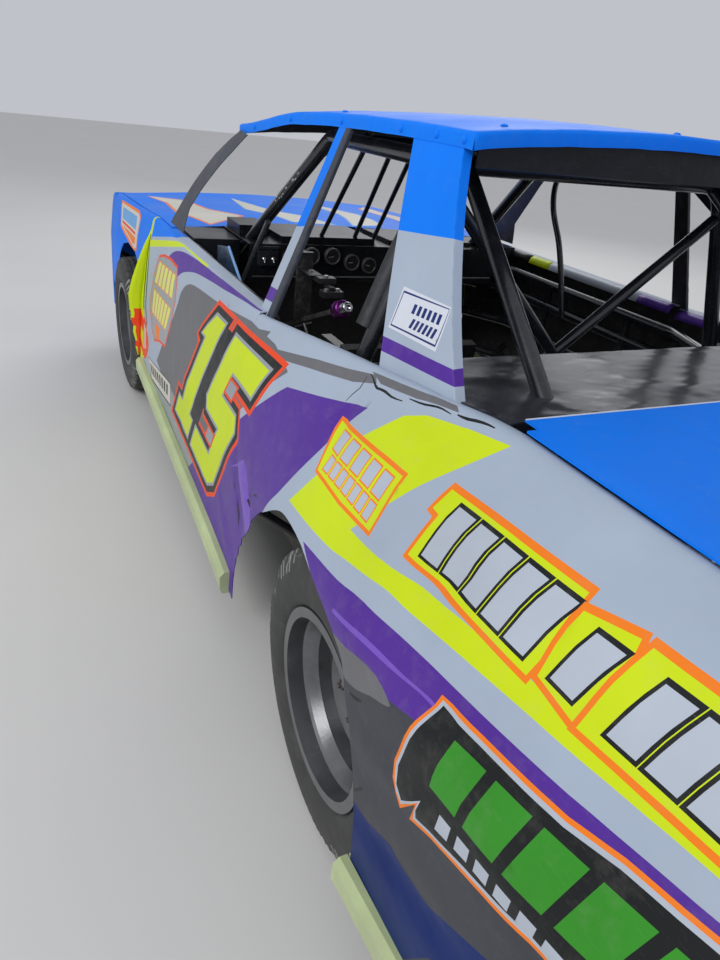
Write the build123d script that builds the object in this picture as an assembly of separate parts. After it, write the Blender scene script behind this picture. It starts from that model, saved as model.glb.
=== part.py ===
"""Dirt-track stock car: perimeter frame, roll cage, sheet body, four steel wheels.

Lengths are millimetres. X runs forward, Y to the car's left, Z up from the ground.
Shapes are drawn with X measured from the rear axle, and moved by SHIFT_X on export,
which puts the origin under the middle of the car.
"""
from build123d import *
import math
import os

# Driving dimensions
WHEELBASE = 2743
FRONT_OVERHANG = 937
REAR_OVERHANG = 1290
REAR_BUMPER_REACH = 40
SHEET = 4
TYRE_R = 335
TYRE_WIDTH = 240
RIM_FLANGE_R = 207.5
RIM_SEAT_R = 190.5
RIM_DROP_R = 168
RIM_WIDTH = 222
RIM_WALL = 5
DISH = 96
REAR_RIM_FACE_Y = 898
FRONT_RIM_FACE_Y = 892
HUB_R = 74
SPINDLE_R = 20
SPINDLE_PLAY = 0.1
STUD_CIRCLE_R = 63.5
STUD_R = 6.5
ROTOR_R = 142
KINGPIN_Y = 690
KINGPIN_R = 10
STEER_ARM = 120
STEER_ARM_DROP = 70
LINK_R = 11
GUIDE_HALF = 190
ARM_PIVOT_Y = 432
ARM_PIVOT_Z = 235
SPRING_Y = 500
SPRING_R = 50
SPRING_TOP_Z = 492
TUBE_R = 22
SMALL_TUBE_R = 14
RAIL_W = 60
RAIL_H = 100
FLOOR_Z = 250
FLOOR_HALF_W = 602
TUNNEL_HALF_W = 112
TUNNEL_TOP_Z = 400
DASH_Z = 945
HOOP_X = 540
HOOP_Y = 612
HOOP_Z = 1342
HALO_Z = 1345
LEG_Y = 545
LEG_Z = 815
BRACE_R = 19
BRACE_Y = 466
BRACE_BEND_Z = 945
CROSS_BAR_R = 16
AXLE_TUBE_R = 38
PINION_X = 185
REAR_SPRING_Y = 380
REAR_SPRING_R = 56
REAR_SPRING_TOP_Z = 545
ROOF_FLANGE = 32
ROOF_CROWN = 36
HEADER_SETBACK = 50
HEADER_SIDE_GAP = 45
HEADER_LOW_Z = 1352
PILLAR_TUCK = 14
FENDER_FLANGE = 70
DOOR_FLANGE = 45
QUARTER_FLANGE = 30
QUARTER_DROP = 14
NOSE_WALL = 5
SKIRT_W = 26
SKIRT_H = 72
CLEAR = 0.3
PANEL_GAP = 3

FRONT_AXLE_X = WHEELBASE
AXLE_Z = TYRE_R
NOSE_TIP_X = FRONT_AXLE_X + FRONT_OVERHANG
TAIL_X = -REAR_OVERHANG
SHIFT_X = -(NOSE_TIP_X + TAIL_X - REAR_BUMPER_REACH) / 2

# Where the body's sheets and the cabin's walls stand along the car
POST_X = 820
DOOR_FRONT_X = FRONT_AXLE_X - 418
FENDER_FRONT_X = NOSE_TIP_X - 180
FIREWALL_X = FRONT_AXLE_X - 783
DASH_X = FIREWALL_X - 270
LEG_X = FIREWALL_X + 25
COWL_X = FIREWALL_X + 100
HUB_X = 1220
TRAY_FRONT_X = 330
TRAY_REAR_X = -90
LID_FRONT_X = -112
LID_REAR_X = TAIL_X + 6
LID_HALF_W = 648
LID_NOTCH = 38
LID_Z = 1000.5
LID_HINGE_Z = 988
HINGE_PIN_R = 4
HINGE_EAR_R = 9
HINGE_Y = 400

# Body side, one row for each station along the car
# x, shoulder y, z, waist y, z, flank y, z, hem y, z
SIDE = (
    (TAIL_X, 664, 998, 790, 880, 884, 640, 904, 330),
    (-600, 660, 1003, 795, 890, 918, 650, 936, 190),
    (-100, 662, 1002, 795, 880, 921, 652, 936, 170),
    (280, 712, 972, 812, 850, 906, 640, 924, 165),
    (POST_X, 793, 930, 835, 780, 880, 520, 903, 175),
    (DOOR_FRONT_X, 795, 930, 830, 800, 865, 580, 885, 262),
    (FRONT_AXLE_X, 798, 905, 825, 810, 856, 640, 872, 330),
    (FENDER_FRONT_X - 300, 801, 885, 822, 800, 850, 640, 862, 350),
    (FENDER_FRONT_X, 800, 872, 815, 800, 838, 650, 846, 400),
)

# Roof, one row for each station: x, half width, height of the side crease
ROOF = (
    (265, 565, 1416),
    (620, 578, 1420),
    (1150, 600, 1405),
    (1640, 622, 1347),
)

# Hood's cross section: distance from the middle and rise above the shoulder
HOOD_SECTION = ((772, 0), (728, 0), (400, 20), (0, 28))

# Left frame rail's centre line, from the front
# x, y, z
RAIL_ROUTE = (
    (NOSE_TIP_X - 260, 400, 345),
    (FRONT_AXLE_X - 243, 400, 345),
    (FIREWALL_X + 220, 430, 225),
    (FIREWALL_X, 600, 200),
    (470, 620, 200),
    (340, 560, 260),
    (230, 480, 350),
    (110, 470, 500),
    (-260, 470, 500),
    (-420, 465, 440),
    (-1180, 455, 440),
)

# Frame cross members
# x, half length, z, size along x, size along z
CROSS_MEMBERS = (
    (FRONT_AXLE_X, 400, 255, 150, 90),
    (NOSE_TIP_X - 295, 400, 330, 60, 60),
    (1420, 600, 185, 60, 60),
    (420, 600, 215, 60, 60),
    (0, 500, 570, 60, 50),
    (-420, 465, 430, 50, 60),
    (-560, 462, 445, 40, 60),
    (-960, 458, 445, 40, 60),
    (-1140, 455, 440, 50, 70),
)

# Tubes that hold the left side sheets: start, and the place on the side they reach
# start x, y, z, end x, z
SIDE_BRACES = (
    (NOSE_TIP_X - 380, 420, 345, NOSE_TIP_X - 380, 600),
    (LEG_X, 540, 800, COWL_X - 10, 830),
    (FIREWALL_X - 60, 600, 215, FIREWALL_X - 60, 440),
    (1050, 610, 215, 1050, 440),
    (740, 615, 215, 740, 440),
    (540, 612, 870, 540, 880),
    (-900, 480, 450, -900, 560),
    (-1160, 455, 450, -1160, 700),
)


UP = (Align.CENTER, Align.CENTER, Align.MIN)


def tube(p, q, r=TUBE_R):
    """Round bar from point p to point q."""
    run = Vector(*q) - Vector(*p)
    axis = Plane(origin=p, z_dir=run)
    return axis * Cylinder(r, run.length, align=UP)


def bent_tube(points, bend, r=TUBE_R):
    """Round bar along straight runs joined by arcs of radius bend."""
    path = FilletPolyline(*points, radius=bend)
    return sweep(Plane(origin=path @ 0, z_dir=path % 0) * Circle(r), path=path)


def bar(p, q, w, h, over=0):
    """Square-cornered bar from p to q, w across and h high, over longer at each end."""
    run = Vector(*q) - Vector(*p)
    side = Vector(0, 0, 1).cross(run)
    axis = Plane(origin=Vector(*p) - run.normalized() * over, x_dir=side, z_dir=run)
    return axis * Box(w, h, run.length + 2 * over, align=UP)


def block(x, y, z):
    """Box from its low and high ends along each axis."""
    size = [high - low for low, high in (x, y, z)]
    centre = [(high + low) / 2 for low, high in (x, y, z)]
    return Pos(*centre) * Box(*size)


def sheet(corners, thick=SHEET):
    """Flat plate on the plane of its first three corners, thick towards the right-hand normal."""
    a, b, c = (Vector(*p) for p in corners[:3])
    plane = Plane(origin=a, x_dir=b - a, z_dir=(b - a).cross(c - a))
    flat = [plane.to_local_coords(Vector(*p)) for p in corners]
    outline = make_face(Polyline(*[(p.X, p.Y) for p in flat], close=True))
    return plane * extrude(outline, amount=thick)


def mirrored(piece):
    return mirror(piece, about=Plane.XZ)


def fuse(*pieces):
    whole = pieces[0]
    for piece in pieces[1:]:
        whole = whole + piece
    return whole


def side_row(x):
    """Outline of the body side at x, from the table's rows on either side of it."""
    for low, high in zip(SIDE, SIDE[1:]):
        if x <= high[0]:
            break
    share = (x - low[0]) / (high[0] - low[0])
    row = [a + share * (b - a) for a, b in zip(low, high)]
    return [(row[i], row[i + 1]) for i in (1, 3, 5, 7)]


def inset(points, thick):
    """The outline moved inwards by the sheet's thickness, with mitred corners."""
    normals = []
    for (y0, z0), (y1, z1) in zip(points, points[1:]):
        length = math.hypot(y1 - y0, z1 - z0)
        normals.append((-(z1 - z0) / length, (y1 - y0) / length))
    moved = []
    for i, (y, z) in enumerate(points):
        a = normals[max(i - 1, 0)]
        b = normals[min(i, len(normals) - 1)]
        scale = thick / (1 + a[0] * b[0] + a[1] * b[1])
        moved.append((y - (a[0] + b[0]) * scale, z - (a[1] + b[1]) * scale))
    return moved


def side_skin(start_x, end_x, flange, drop=0):
    """Left side sheet between two stations, with its top turned in by flange."""
    stations = [start_x] + [row[0] for row in SIDE if start_x < row[0] < end_x] + [end_x]
    faces = []
    for x in stations:
        outer = side_row(x)
        y, z = outer[0]
        outer = [(y - flange, z - drop)] + outer
        ring = outer + inset(outer, SHEET)[::-1]
        faces.append(make_face(Polyline(*[(x, y, z) for y, z in ring], close=True)))
    return loft(faces, ruled=True)


def wheel_opening_front():
    """Front wheel opening: wide enough for the tyre on full lock, open at the bottom."""
    low, wide, shoulder, top = 0, 418, 0.50, 0.79
    height = 1000
    half = [(-wide, low), (-wide, shoulder * height), (-285, 0.74 * height), (-130, top * height)]
    points = half + [(-x, z) for x, z in reversed(half)]
    outline = make_face(Polyline(*[(FRONT_AXLE_X + x, z) for x, z in points], close=True))
    return Pos(0, 1000, 0) * extrude(Plane.XZ * outline, amount=400)


def wheel_opening_rear():
    """Rear wheel opening, a round cut whose middle lies ahead of the axle."""
    centre_x, centre_z, radius = 175, 228, 435
    cut = Pos(centre_x, 1000, centre_z) * Rot(90, 0, 0) * Cylinder(radius, 400, align=UP)
    return cut + block((centre_x - radius, centre_x + radius), (600, 1000), (0, centre_z))


def fender():
    return side_skin(DOOR_FRONT_X + PANEL_GAP, FENDER_FRONT_X, FENDER_FLANGE) - wheel_opening_front()


def door():
    return side_skin(POST_X + PANEL_GAP, DOOR_FRONT_X, DOOR_FLANGE)


def quarter():
    return side_skin(TAIL_X, POST_X, QUARTER_FLANGE, QUARTER_DROP) - wheel_opening_rear()


def skirt(start_x, end_x):
    """Plastic rub rail along the hem, standing out from the sheet."""
    faces = []
    for x in (start_x, end_x):
        y, z = side_row(x)[3]
        top = z + SKIRT_H - 8
        ring = ((y - 6, z - 8), (y + SKIRT_W * 0.7, z - 8), (y + SKIRT_W, z + 10),
                (y + SKIRT_W, top - 14), (y + SKIRT_W * 0.5, top), (y - 8, top))
        faces.append(make_face(Polyline(*[(x, a, b) for a, b in ring], close=True)))
    return loft(faces, ruled=True)


def roof_band(x, half, crease, top_drop, depth):
    """Crowned strip of the roof's section at x, from top_drop below the skin, depth deep."""
    crown = crease + ROOF_CROWN
    upper = crease - top_drop
    lower = upper - depth
    outline = (
        ThreePointArc((x, -half, upper), (x, 0, crown - top_drop), (x, half, upper))
        + Line((x, half, upper), (x, half, lower))
        + ThreePointArc((x, half, lower), (x, 0, crown - top_drop - depth), (x, -half, lower))
        + Line((x, -half, lower), (x, -half, upper))
    )
    return make_face(outline)


def roof():
    """Crowned sheet with its edges turned down all round, and a header plate across its rear."""
    outer = loft([roof_band(x, half, z, 0, ROOF_FLANGE) for x, half, z in ROOF], ruled=True)
    first, last = ROOF[0], ROOF[-1]
    inner_rows = [(first[0] + SHEET,) + first[1:]] + list(ROOF[1:-1]) + [(last[0] - SHEET,) + last[1:]]
    inner = loft([roof_band(x, half - SHEET, z, SHEET, ROOF_FLANGE) for x, half, z in inner_rows], ruled=True)
    under_skin = loft([roof_band(x, half, z, 1, 200) for x, half, z in ROOF], ruled=True)
    x, (_, half, crease) = first[0] + HEADER_SETBACK, first
    plate_half = half - HEADER_SIDE_GAP
    plate = block((x, x + SHEET), (-plate_half, plate_half), (HEADER_LOW_Z, crease + 100))
    return outer - inner + (plate & under_skin)


def roof_edge(x):
    """Half width and lower edge height of the roof's side at x."""
    for low, high in zip(ROOF, ROOF[1:]):
        if x <= high[0]:
            break
    share = (x - low[0]) / (high[0] - low[0])
    return low[1] + share * (high[1] - low[1]), low[2] + share * (high[2] - low[2]) - ROOF_FLANGE


def side_y(x, z):
    """Outer Y of the body side at height z, below the shoulder."""
    outline = side_row(x)
    for (y0, z0), (y1, z1) in zip(outline, outline[1:]):
        if z >= z1:
            break
    return y0 + (z0 - z) / (z0 - z1) * (y1 - y0)


def roof_z(x, y):
    """Height of the roof's skin above a point inside its edges."""
    half, edge = roof_edge(x)
    return edge + ROOF_FLANGE + ROOF_CROWN * (1 - (y / half) ** 2)


def strip_end(x0, x1, y0, y1, z0, z1, thick):
    """End face of a leaning sheet strip: a thin parallelogram."""
    ring = ((x0, y0, z0), (x1, y1, z1), (x1, y1 + thick, z1), (x0, y0 + thick, z0))
    return make_face(Polyline(*ring, close=True))


def pillar(top, bottom, seat, fold=0):
    """Sheet strip from inside the roof's edge to the belt; seat is how far in and down it lands."""
    ends = []
    for x_top, x_bottom in zip(top, bottom):
        half, edge = roof_edge(x_top)
        shoulder_y, shoulder_z = side_row(x_bottom)[0]
        y, z = shoulder_y - seat[0], shoulder_z - seat[1]
        lean = (y - half + SHEET) / (edge - z)
        ends.append((x_top, half - SHEET - 2.6 - PILLAR_TUCK * lean, edge + PILLAR_TUCK, x_bottom, y - 3, z))
    (t0, ty0, tz0, b0, by0, bz0), (t1, ty1, tz1, b1, by1, bz1) = ends
    ends = [strip_end(t0, t1, ty0, ty1, tz0, tz1, 3), strip_end(b0, b1, by0, by1, bz0, bz1, 3)]
    strip = loft(ends, ruled=True)
    if fold:
        flange = loft([strip_end(t0, t0 + 3, ty0 - fold, ty0 - fold, tz0, tz0, fold + 2),
                       strip_end(b0, b0 + 3, by0 - fold, by0 - fold, bz0, bz0, fold + 2)], ruled=True)
        strip = strip + flange
    return strip


def sail():
    """Roof side panel between the side window and the rear window, with a folded rear edge."""
    return pillar((305, 495), (42, 290), (22, 12.2), 20)


def window_post():
    return pillar((772, 858), (744, POST_X - 2), (22, 12.2))


def a_pillar():
    return pillar((1594, 1638), (COWL_X - 210, COWL_X - 6), (26, 2))


def nose_profile(wall):
    """Side view of the nose, wall thick inside the skin."""
    low, top, back, start = 240 + wall, 872 - wall, FENDER_FRONT_X - 100, FENDER_FRONT_X
    tip = NOSE_TIP_X - wall
    return make_face(
        Line((back, low), (back, top))
        + Line((back, top), (start, top))
        + ThreePointArc((start, top), (start + 132 - 0.7 * wall, 826 - 0.7 * wall), (tip, 690))
        + Line((tip, 690), (tip - 14, 400))
        + Line((tip - 14, 400), (tip - 110, low))
        + Line((tip - 110, low), (back, low))
    )


def nose_plan(wall):
    """Plan of the nose, wall thick inside the skin."""
    side, front, corner = 850 - wall, NOSE_TIP_X - wall, NOSE_TIP_X - 28 - wall
    back, start = FENDER_FRONT_X - 100, FENDER_FRONT_X
    bend_x, bend_y = start + 106 - 0.7 * wall, 800 - 0.7 * wall
    return make_face(
        Line((back, -side), (start, -side))
        + ThreePointArc((start, -side), (bend_x, -bend_y), (corner, -680 + wall))
        + ThreePointArc((corner, -680 + wall), (front, 0), (corner, 680 - wall))
        + ThreePointArc((corner, 680 - wall), (bend_x, bend_y), (start, side))
        + Line((start, side), (back, side))
        + Line((back, side), (back, -side))
    )


def nose_front(wall):
    """Front view of the nose: the fenders' section where they meet it."""
    outer = side_row(FENDER_FRONT_X)
    left = inset(outer, wall) if wall else outer
    left = [(0, left[0][1])] + left + [(left[-1][0], 200)]
    right = [(-y, z) for y, z in left[:0:-1]]
    return make_face(Polyline(*[(FENDER_FRONT_X - 100, y, z) for y, z in left + right], close=True))


def nose_form(wall):
    side = Pos(0, 1000, 0) * extrude(Plane.XZ * nose_profile(wall), amount=2000)
    return side & extrude(nose_plan(wall), amount=1000) & extrude(nose_front(wall), amount=400, dir=(1, 0, 0))


def nose():
    """Moulded nose: bull-nosed profile, rounded corners in plan, one barred air intake."""
    hull = nose_form(0) - nose_form(NOSE_WALL)
    hull = hull - block((FENDER_FRONT_X - 200, FENDER_FRONT_X), (-900, 900), (0, 1000))
    for y in (-255, -85, 85, 255):
        hull = hull - block((NOSE_TIP_X - 120, NOSE_TIP_X + 120), (y - 77, y + 77), (325, 425))
    return hull


def hood():
    """Hood sheet: flat margins on the fenders' flanges, crowned between."""
    faces = []
    stations = [COWL_X] + [row[0] for row in SIDE if COWL_X < row[0] < FENDER_FRONT_X] + [FENDER_FRONT_X - 2]
    for x in stations:
        z = side_row(x)[0][1]
        half = [(y, z + rise) for y, rise in HOOD_SECTION]
        under = [(-y, h) for y, h in half] + [(y, h) for y, h in half[-2::-1]]
        ring = under + [(y, h + SHEET) for y, h in reversed(under)]
        faces.append(make_face(Polyline(*[(x, y, h) for y, h in ring], close=True)))
    return loft(faces, ruled=True)


def frame():
    """Perimeter frame: box rails that pass under the doors and over the rear axle."""
    rails = [bar(p, q, RAIL_W, RAIL_H, 20) for p, q in zip(RAIL_ROUTE, RAIL_ROUTE[1:])]
    x = FRONT_AXLE_X
    tower = block((x - 125, x + 125), (375, ARM_PIVOT_Y - 13 - CLEAR), (350, SPRING_TOP_Z + 12))
    perch = block((x - 62, x + 62), (380, SPRING_Y + 62), (SPRING_TOP_Z + CLEAR, SPRING_TOP_Z + 12))
    hanger_y = (392, ARM_PIVOT_Y - 13 - CLEAR)
    hangers = [block((x + lo, x + hi), hanger_y, (214, 300)) for lo, hi in ((-166, -141), (128, 166))]
    left = fuse(*rails, tower, perch, *hangers)
    members = [Pos(x, 0, z) * Box(w, 2 * y, h) for x, y, z, w, h in CROSS_MEMBERS]
    pad = block((1395, 1445), (-40, 40), (200, 246.7))
    link_x, link_z = x - STEER_ARM, AXLE_Z - STEER_ARM_DROP
    guide = tube((link_x, -GUIDE_HALF, link_z), (link_x, GUIDE_HALF, link_z), LINK_R + 10)
    lug_z = (link_z - 12, link_z + 12)
    lugs = [block((link_x, x - 70), (s * 150 - 20, s * 150 + 20), lug_z) for s in (1, -1)]
    whole = fuse(left, mirrored(left), *members, pad, guide, *lugs)
    return whole - tube((link_x, -300, link_z), (link_x, 300, link_z), LINK_R + SPINDLE_PLAY)


def roll_cage():
    """Main hoop, roof bars, front legs, dash bar and the bars across the windscreen."""
    parts = [bent_tube([(HOOP_X, -HOOP_Y, FLOOR_Z), (HOOP_X, -HOOP_Y, 880), (HOOP_X, -440, HOOP_Z),
                        (HOOP_X, 440, HOOP_Z), (HOOP_X, HOOP_Y, 880), (HOOP_X, HOOP_Y, FLOOR_Z)], 90)]
    for s in (1, -1):
        parts.append(bent_tube([(HOOP_X, s * 430, HOOP_Z), (1300, s * 420, HALO_Z),
                                (LEG_X, s * LEG_Y, LEG_Z), (LEG_X - 50, s * 592, FLOOR_Z)], 80))
    parts.append(tube((1285, -420, HALO_Z - 4), (1285, 420, HALO_Z - 4)))
    parts.append(tube((LEG_X, -LEG_Y, LEG_Z - 15), (LEG_X, LEG_Y, LEG_Z - 15)))
    for top, low in ((300, 210), (205, 40), (125, -50)):
        parts.append(tube((1290, top, HALO_Z - 6), (LEG_X, low, LEG_Z - 10), 9))
    return fuse(*parts)


def door_bars(side, heights):
    """Bars that bow out into the door between the hoop and the front leg."""
    parts = []
    for z in heights:
        share = (z - FLOOR_Z) / (LEG_Z - FLOOR_Z)
        end = (LEG_X - 50 * (1 - share), side * (592 + share * (LEG_Y - 592)), z)
        bow = [(HOOP_X + 220, side * 700, z), (LEG_X - 265, side * 700, z)]
        parts.append(bent_tube([(HOOP_X, side * HOOP_Y, z), *bow, end], 120, 19))
    for x in (HOOP_X + 440, LEG_X - 535):
        parts.append(tube((x, side * 700, heights[0]), (x, side * 700, heights[-1]), SMALL_TUBE_R))
    return fuse(*parts)


def rear_braces():
    """Bars from the hoop down through the tray to the frame, joined by a bar under the tray."""
    parts = []
    for s in (1, -1):
        parts.append(tube((HOOP_X, s * 400, HOOP_Z), (0, s * BRACE_Y, BRACE_BEND_Z), BRACE_R))
        parts.append(tube((0, s * BRACE_Y, BRACE_BEND_Z), (-330, s * 470, 500), BRACE_R))
    parts.append(tube((0, -BRACE_Y, BRACE_BEND_Z - 7), (0, BRACE_Y, BRACE_BEND_Z - 7), CROSS_BAR_R))
    return fuse(*parts)


def hoop_cross():
    """Crossed bars between the hoop's legs, behind the seat."""
    rising = tube((HOOP_X, 450, HOOP_Z - 42), (HOOP_X, 12 - HOOP_Y, FLOOR_Z + 30), CROSS_BAR_R)
    falling = tube((HOOP_X, -470, HOOP_Z - 75), (HOOP_X, HOOP_Y - 12, FLOOR_Z + 162), CROSS_BAR_R)
    return rising + falling


def floor_pan():
    """Floor sheet on the rails with the tunnel over the propeller shaft."""
    pan = block((480, FIREWALL_X), (-FLOOR_HALF_W, FLOOR_HALF_W), (FLOOR_Z, FLOOR_Z + 3))
    opening = block((400, COWL_X), (-TUNNEL_HALF_W, TUNNEL_HALF_W), (200, 300))
    outer = block((480, FIREWALL_X), (-TUNNEL_HALF_W - 3, TUNNEL_HALF_W + 3), (FLOOR_Z, TUNNEL_TOP_Z))
    inner = block((400, COWL_X), (-TUNNEL_HALF_W, TUNNEL_HALF_W), (200, TUNNEL_TOP_Z - 3))
    return pan - opening + (outer - inner)


def firewall():
    wall = block((FIREWALL_X, FIREWALL_X + 3), (-518, 518), (FLOOR_Z + 3, DASH_Z - 3))
    hole = block((FIREWALL_X - 60, FIREWALL_X + 40), (-TUNNEL_HALF_W, TUNNEL_HALF_W), (200, TUNNEL_TOP_Z))
    return wall - hole


def rear_bulkhead():
    top = side_row(TRAY_FRONT_X)[0][1] - QUARTER_DROP - 3 - CLEAR
    wall = block((TRAY_FRONT_X - 4, TRAY_FRONT_X - 1), (-600, 600), (300, top))
    shaft_hole = block((TRAY_FRONT_X - 50, TRAY_FRONT_X + 50), (-60, 60), (280, TUNNEL_TOP_Z))
    return wall - shaft_hole


def dash():
    """Sheet dash with five round gauges on the driver's side."""
    parts = [block((DASH_X, DASH_X + 3), (-560, 560), (800, DASH_Z)),
             block((DASH_X, COWL_X - 4), (-560, 560), (DASH_Z - 3, DASH_Z))]
    for y, r in ((505, 34), (400, 26), (335, 26), (250, 34), (165, 34)):
        parts.append(Pos(DASH_X + 0.5, y, 882) * Rot(0, -90, 0) * Cylinder(r, 14, align=UP))
    return fuse(*parts)


def steering_column():
    """Column with its quick-release hub; the steering wheel itself is off."""
    hub, foot = Vector(HUB_X, 380, 820), Vector(FIREWALL_X - CLEAR, 380, 530)
    along = (hub - foot).normalized()
    shaft = tube(foot, hub, 11)
    collar = tube(hub - along * 8, hub + along * 22, 30)
    neck = tube(hub + along * 20, hub + along * 52, 14)
    hanger = block((DASH_X - 130, DASH_X - 110), (350, 410), (688, DASH_Z - 3))
    brace = block((DASH_X - 130, DASH_X), (372, 388), (900, DASH_Z - 3))
    return fuse(shaft, collar, neck, hanger, brace)


def seat():
    """Bucket seat: hollow base, leaning back and side bolsters."""
    base = block((760, 1230), (170, 590), (330, 520))
    hollow = block((800, 1300), (200, 560), (372, 600))
    back = sheet([(800, 170, 340), (800, 590, 340), (693, 590, 860), (693, 170, 860)], 30)
    profile = ((800, 350), (1010, 520), (930, 640), (860, 852), (690, 852), (752, 560))
    side = make_face(Polyline(*profile, close=True))
    wings = [Pos(0, y + 30, 0) * extrude(Plane.XZ * side, amount=30) for y in (170, 560)]
    legs = [block((780, 1200), (y, y + 40), (FLOOR_Z + 3, 331)) for y in (190, 530)]
    return fuse(base - hollow, back, *wings, *legs)


def engine_block():
    """Plain block at the engine's place and size, on the front cross member."""
    back = FIREWALL_X + 240
    body = block((back, back + 560), (-230, 230), (300, 640))
    top = block((back + 60, back + 500), (-130, 130), (640, 800))
    return body + top


def driveline():
    """Gearbox and the shaft back to the axle."""
    case = loft([Plane(origin=(FIREWALL_X + 240 - CLEAR, 0, 330), z_dir=(-1, 0, 0)) * Rectangle(120, 210),
                 Plane(origin=(FIREWALL_X - 60, 0, 330), z_dir=(-1, 0, 0)) * Rectangle(120, 200),
                 Plane(origin=(1350, 0, 302), z_dir=(-1, 0, 0)) * Rectangle(110, 130)], ruled=True)
    shaft = tube((1351, 0, 300), (PINION_X, 0, AXLE_Z), 38)
    return case + shaft


def rear_axle():
    """Solid axle with its trailing arms, spring seats and wheel spindles."""
    hub_y = REAR_RIM_FACE_Y - DISH
    parts = [tube((0, -690, AXLE_Z), (0, 690, AXLE_Z), AXLE_TUBE_R), Pos(0, 0, AXLE_Z) * Sphere(135)]
    parts.append(tube((60, 0, AXLE_Z), (PINION_X - CLEAR, 0, AXLE_Z), 60))
    for s in (1, -1):
        parts.append(tube((0, s * 684, AXLE_Z), (0, s * 700, AXLE_Z), 70))
        parts.append(tube((0, s * 690, AXLE_Z), (0, s * (hub_y - 6), AXLE_Z), SPINDLE_R))
        parts.append(tube((0, s * 540, AXLE_Z - 60), (400, s * 540, 215), 20))
        parts.append(Pos(0, s * 540, AXLE_Z - 45) * Box(60, 40, 60))
        parts.append(Pos(0, s * REAR_SPRING_Y, AXLE_Z + 40) * Cylinder(REAR_SPRING_R + 8, 24))
    return fuse(*parts)


def springs():
    """Four coil springs' envelopes, each between its seats."""
    rear_low, front_low = AXLE_Z + 52, ARM_PIVOT_Z + 7
    pieces = []
    for s in (1, -1):
        rear = Cylinder(REAR_SPRING_R, REAR_SPRING_TOP_Z - rear_low, align=UP)
        front = Cylinder(SPRING_R, SPRING_TOP_Z - front_low, align=UP)
        pieces.append(Pos(0, s * REAR_SPRING_Y, rear_low) * rear)
        pieces.append(Pos(FRONT_AXLE_X, s * SPRING_Y, front_low) * front)
    return pieces


def wheel(face_y):
    """Left wheel: one-piece steel rim, deep dish, five stud holes, brake disc and bored hub."""
    inner = face_y - RIM_WIDTH
    y = face_y
    flange, seat, drop = RIM_FLANGE_R, RIM_SEAT_R, RIM_DROP_R
    profile = (
        (flange, y), (flange, y - 6), (seat, y - 10), (seat, y - 36), (seat - 6, y - 44),
        (drop, y - 66), (drop, inner + 66), (seat - 6, inner + 44), (seat, inner + 36),
        (seat, inner + 10), (flange, inner + 6), (flange, inner),
        (seat - RIM_WALL, inner), (seat - RIM_WALL, inner + 38), (drop - RIM_WALL, inner + 68),
        (drop - RIM_WALL, y - 68), (seat - RIM_WALL - 6, y - 44), (seat - RIM_WALL, y - 38),
        (seat - RIM_WALL, y),
    )
    barrel = revolve(make_face(Polyline(*[(r, a, 0) for r, a in profile], close=True)), axis=Axis.Y)
    bolt_face = y - DISH
    bore = SPINDLE_R + SPINDLE_PLAY
    centre = (
        (bore, bolt_face + 6), (bore, bolt_face - 60), (HUB_R, bolt_face - 60), (HUB_R, bolt_face - 52),
        (ROTOR_R, bolt_face - 52), (ROTOR_R, bolt_face - 30), (HUB_R, bolt_face - 30), (HUB_R, bolt_face - 8),
        (110, bolt_face + 6), (drop - RIM_WALL + 1, bolt_face - 14), (drop - RIM_WALL + 1, bolt_face - 2),
        (112, bolt_face + 16), (76, bolt_face), (44, bolt_face), (38, bolt_face + 12), (34, bolt_face + 12),
        (34, bolt_face + 6),
    )
    hub = revolve(make_face(Polyline(*[(r, a, 0) for r, a in centre], close=True)), axis=Axis.Y)
    whole = barrel + hub
    for i in range(5):
        spot = Rot(0, 72 * i + 18, 0) * Pos(STUD_CIRCLE_R, bolt_face, 0) * Rot(90, 0, 0)
        whole = whole - spot * Cylinder(STUD_R, 160)
    return whole


def tyre(face_y):
    """Left tyre: round-shouldered section on the rim's seats."""
    mid = face_y - RIM_WIDTH / 2
    half = TYRE_WIDTH / 2
    tread = 105
    seat = RIM_WIDTH / 2 - 10
    outer = ((RIM_SEAT_R, seat), (RIM_FLANGE_R + 1, seat + 1), (RIM_FLANGE_R + 4, half - 8), (240, half - 2),
             (272, half), (305, half - 8), (326, tread), (TYRE_R, tread - 22))
    inner = ((RIM_SEAT_R, seat - 24), (235, half - 18), (300, half - 22), (TYRE_R - 12, tread - 26))
    ring = list(outer) + [(r, -a) for r, a in reversed(outer)]
    ring += [(r, -a) for r, a in inner] + list(reversed(inner))
    return revolve(make_face(Polyline(*[(r, mid + a, 0) for r, a in ring], close=True)), axis=Axis.Y)


def knuckle():
    """Left front upright with its spindle, kingpin studs and steering arm."""
    x, y, z = FRONT_AXLE_X, KINGPIN_Y, AXLE_Z
    hub_y = FRONT_RIM_FACE_Y - DISH
    body = block((x - 26, x + 26), (y - 18, y + 8), (z - 90, z + 90))
    pins = tube((x, y - 4, z - 118), (x, y - 4, z + 118), KINGPIN_R)
    spindle = tube((x, y, z), (x, hub_y - 66, z), 32) + tube((x, y, z), (x, hub_y - 4, z), SPINDLE_R)
    arm_z = z - STEER_ARM_DROP
    arm = bar((x, y - 10, arm_z), (x - STEER_ARM, y - 60, arm_z), 24, 20)
    eye = Pos(x - STEER_ARM, y - 60, arm_z) * Cylinder(17, 20)
    return fuse(body, pins, spindle, arm, eye)


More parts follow.
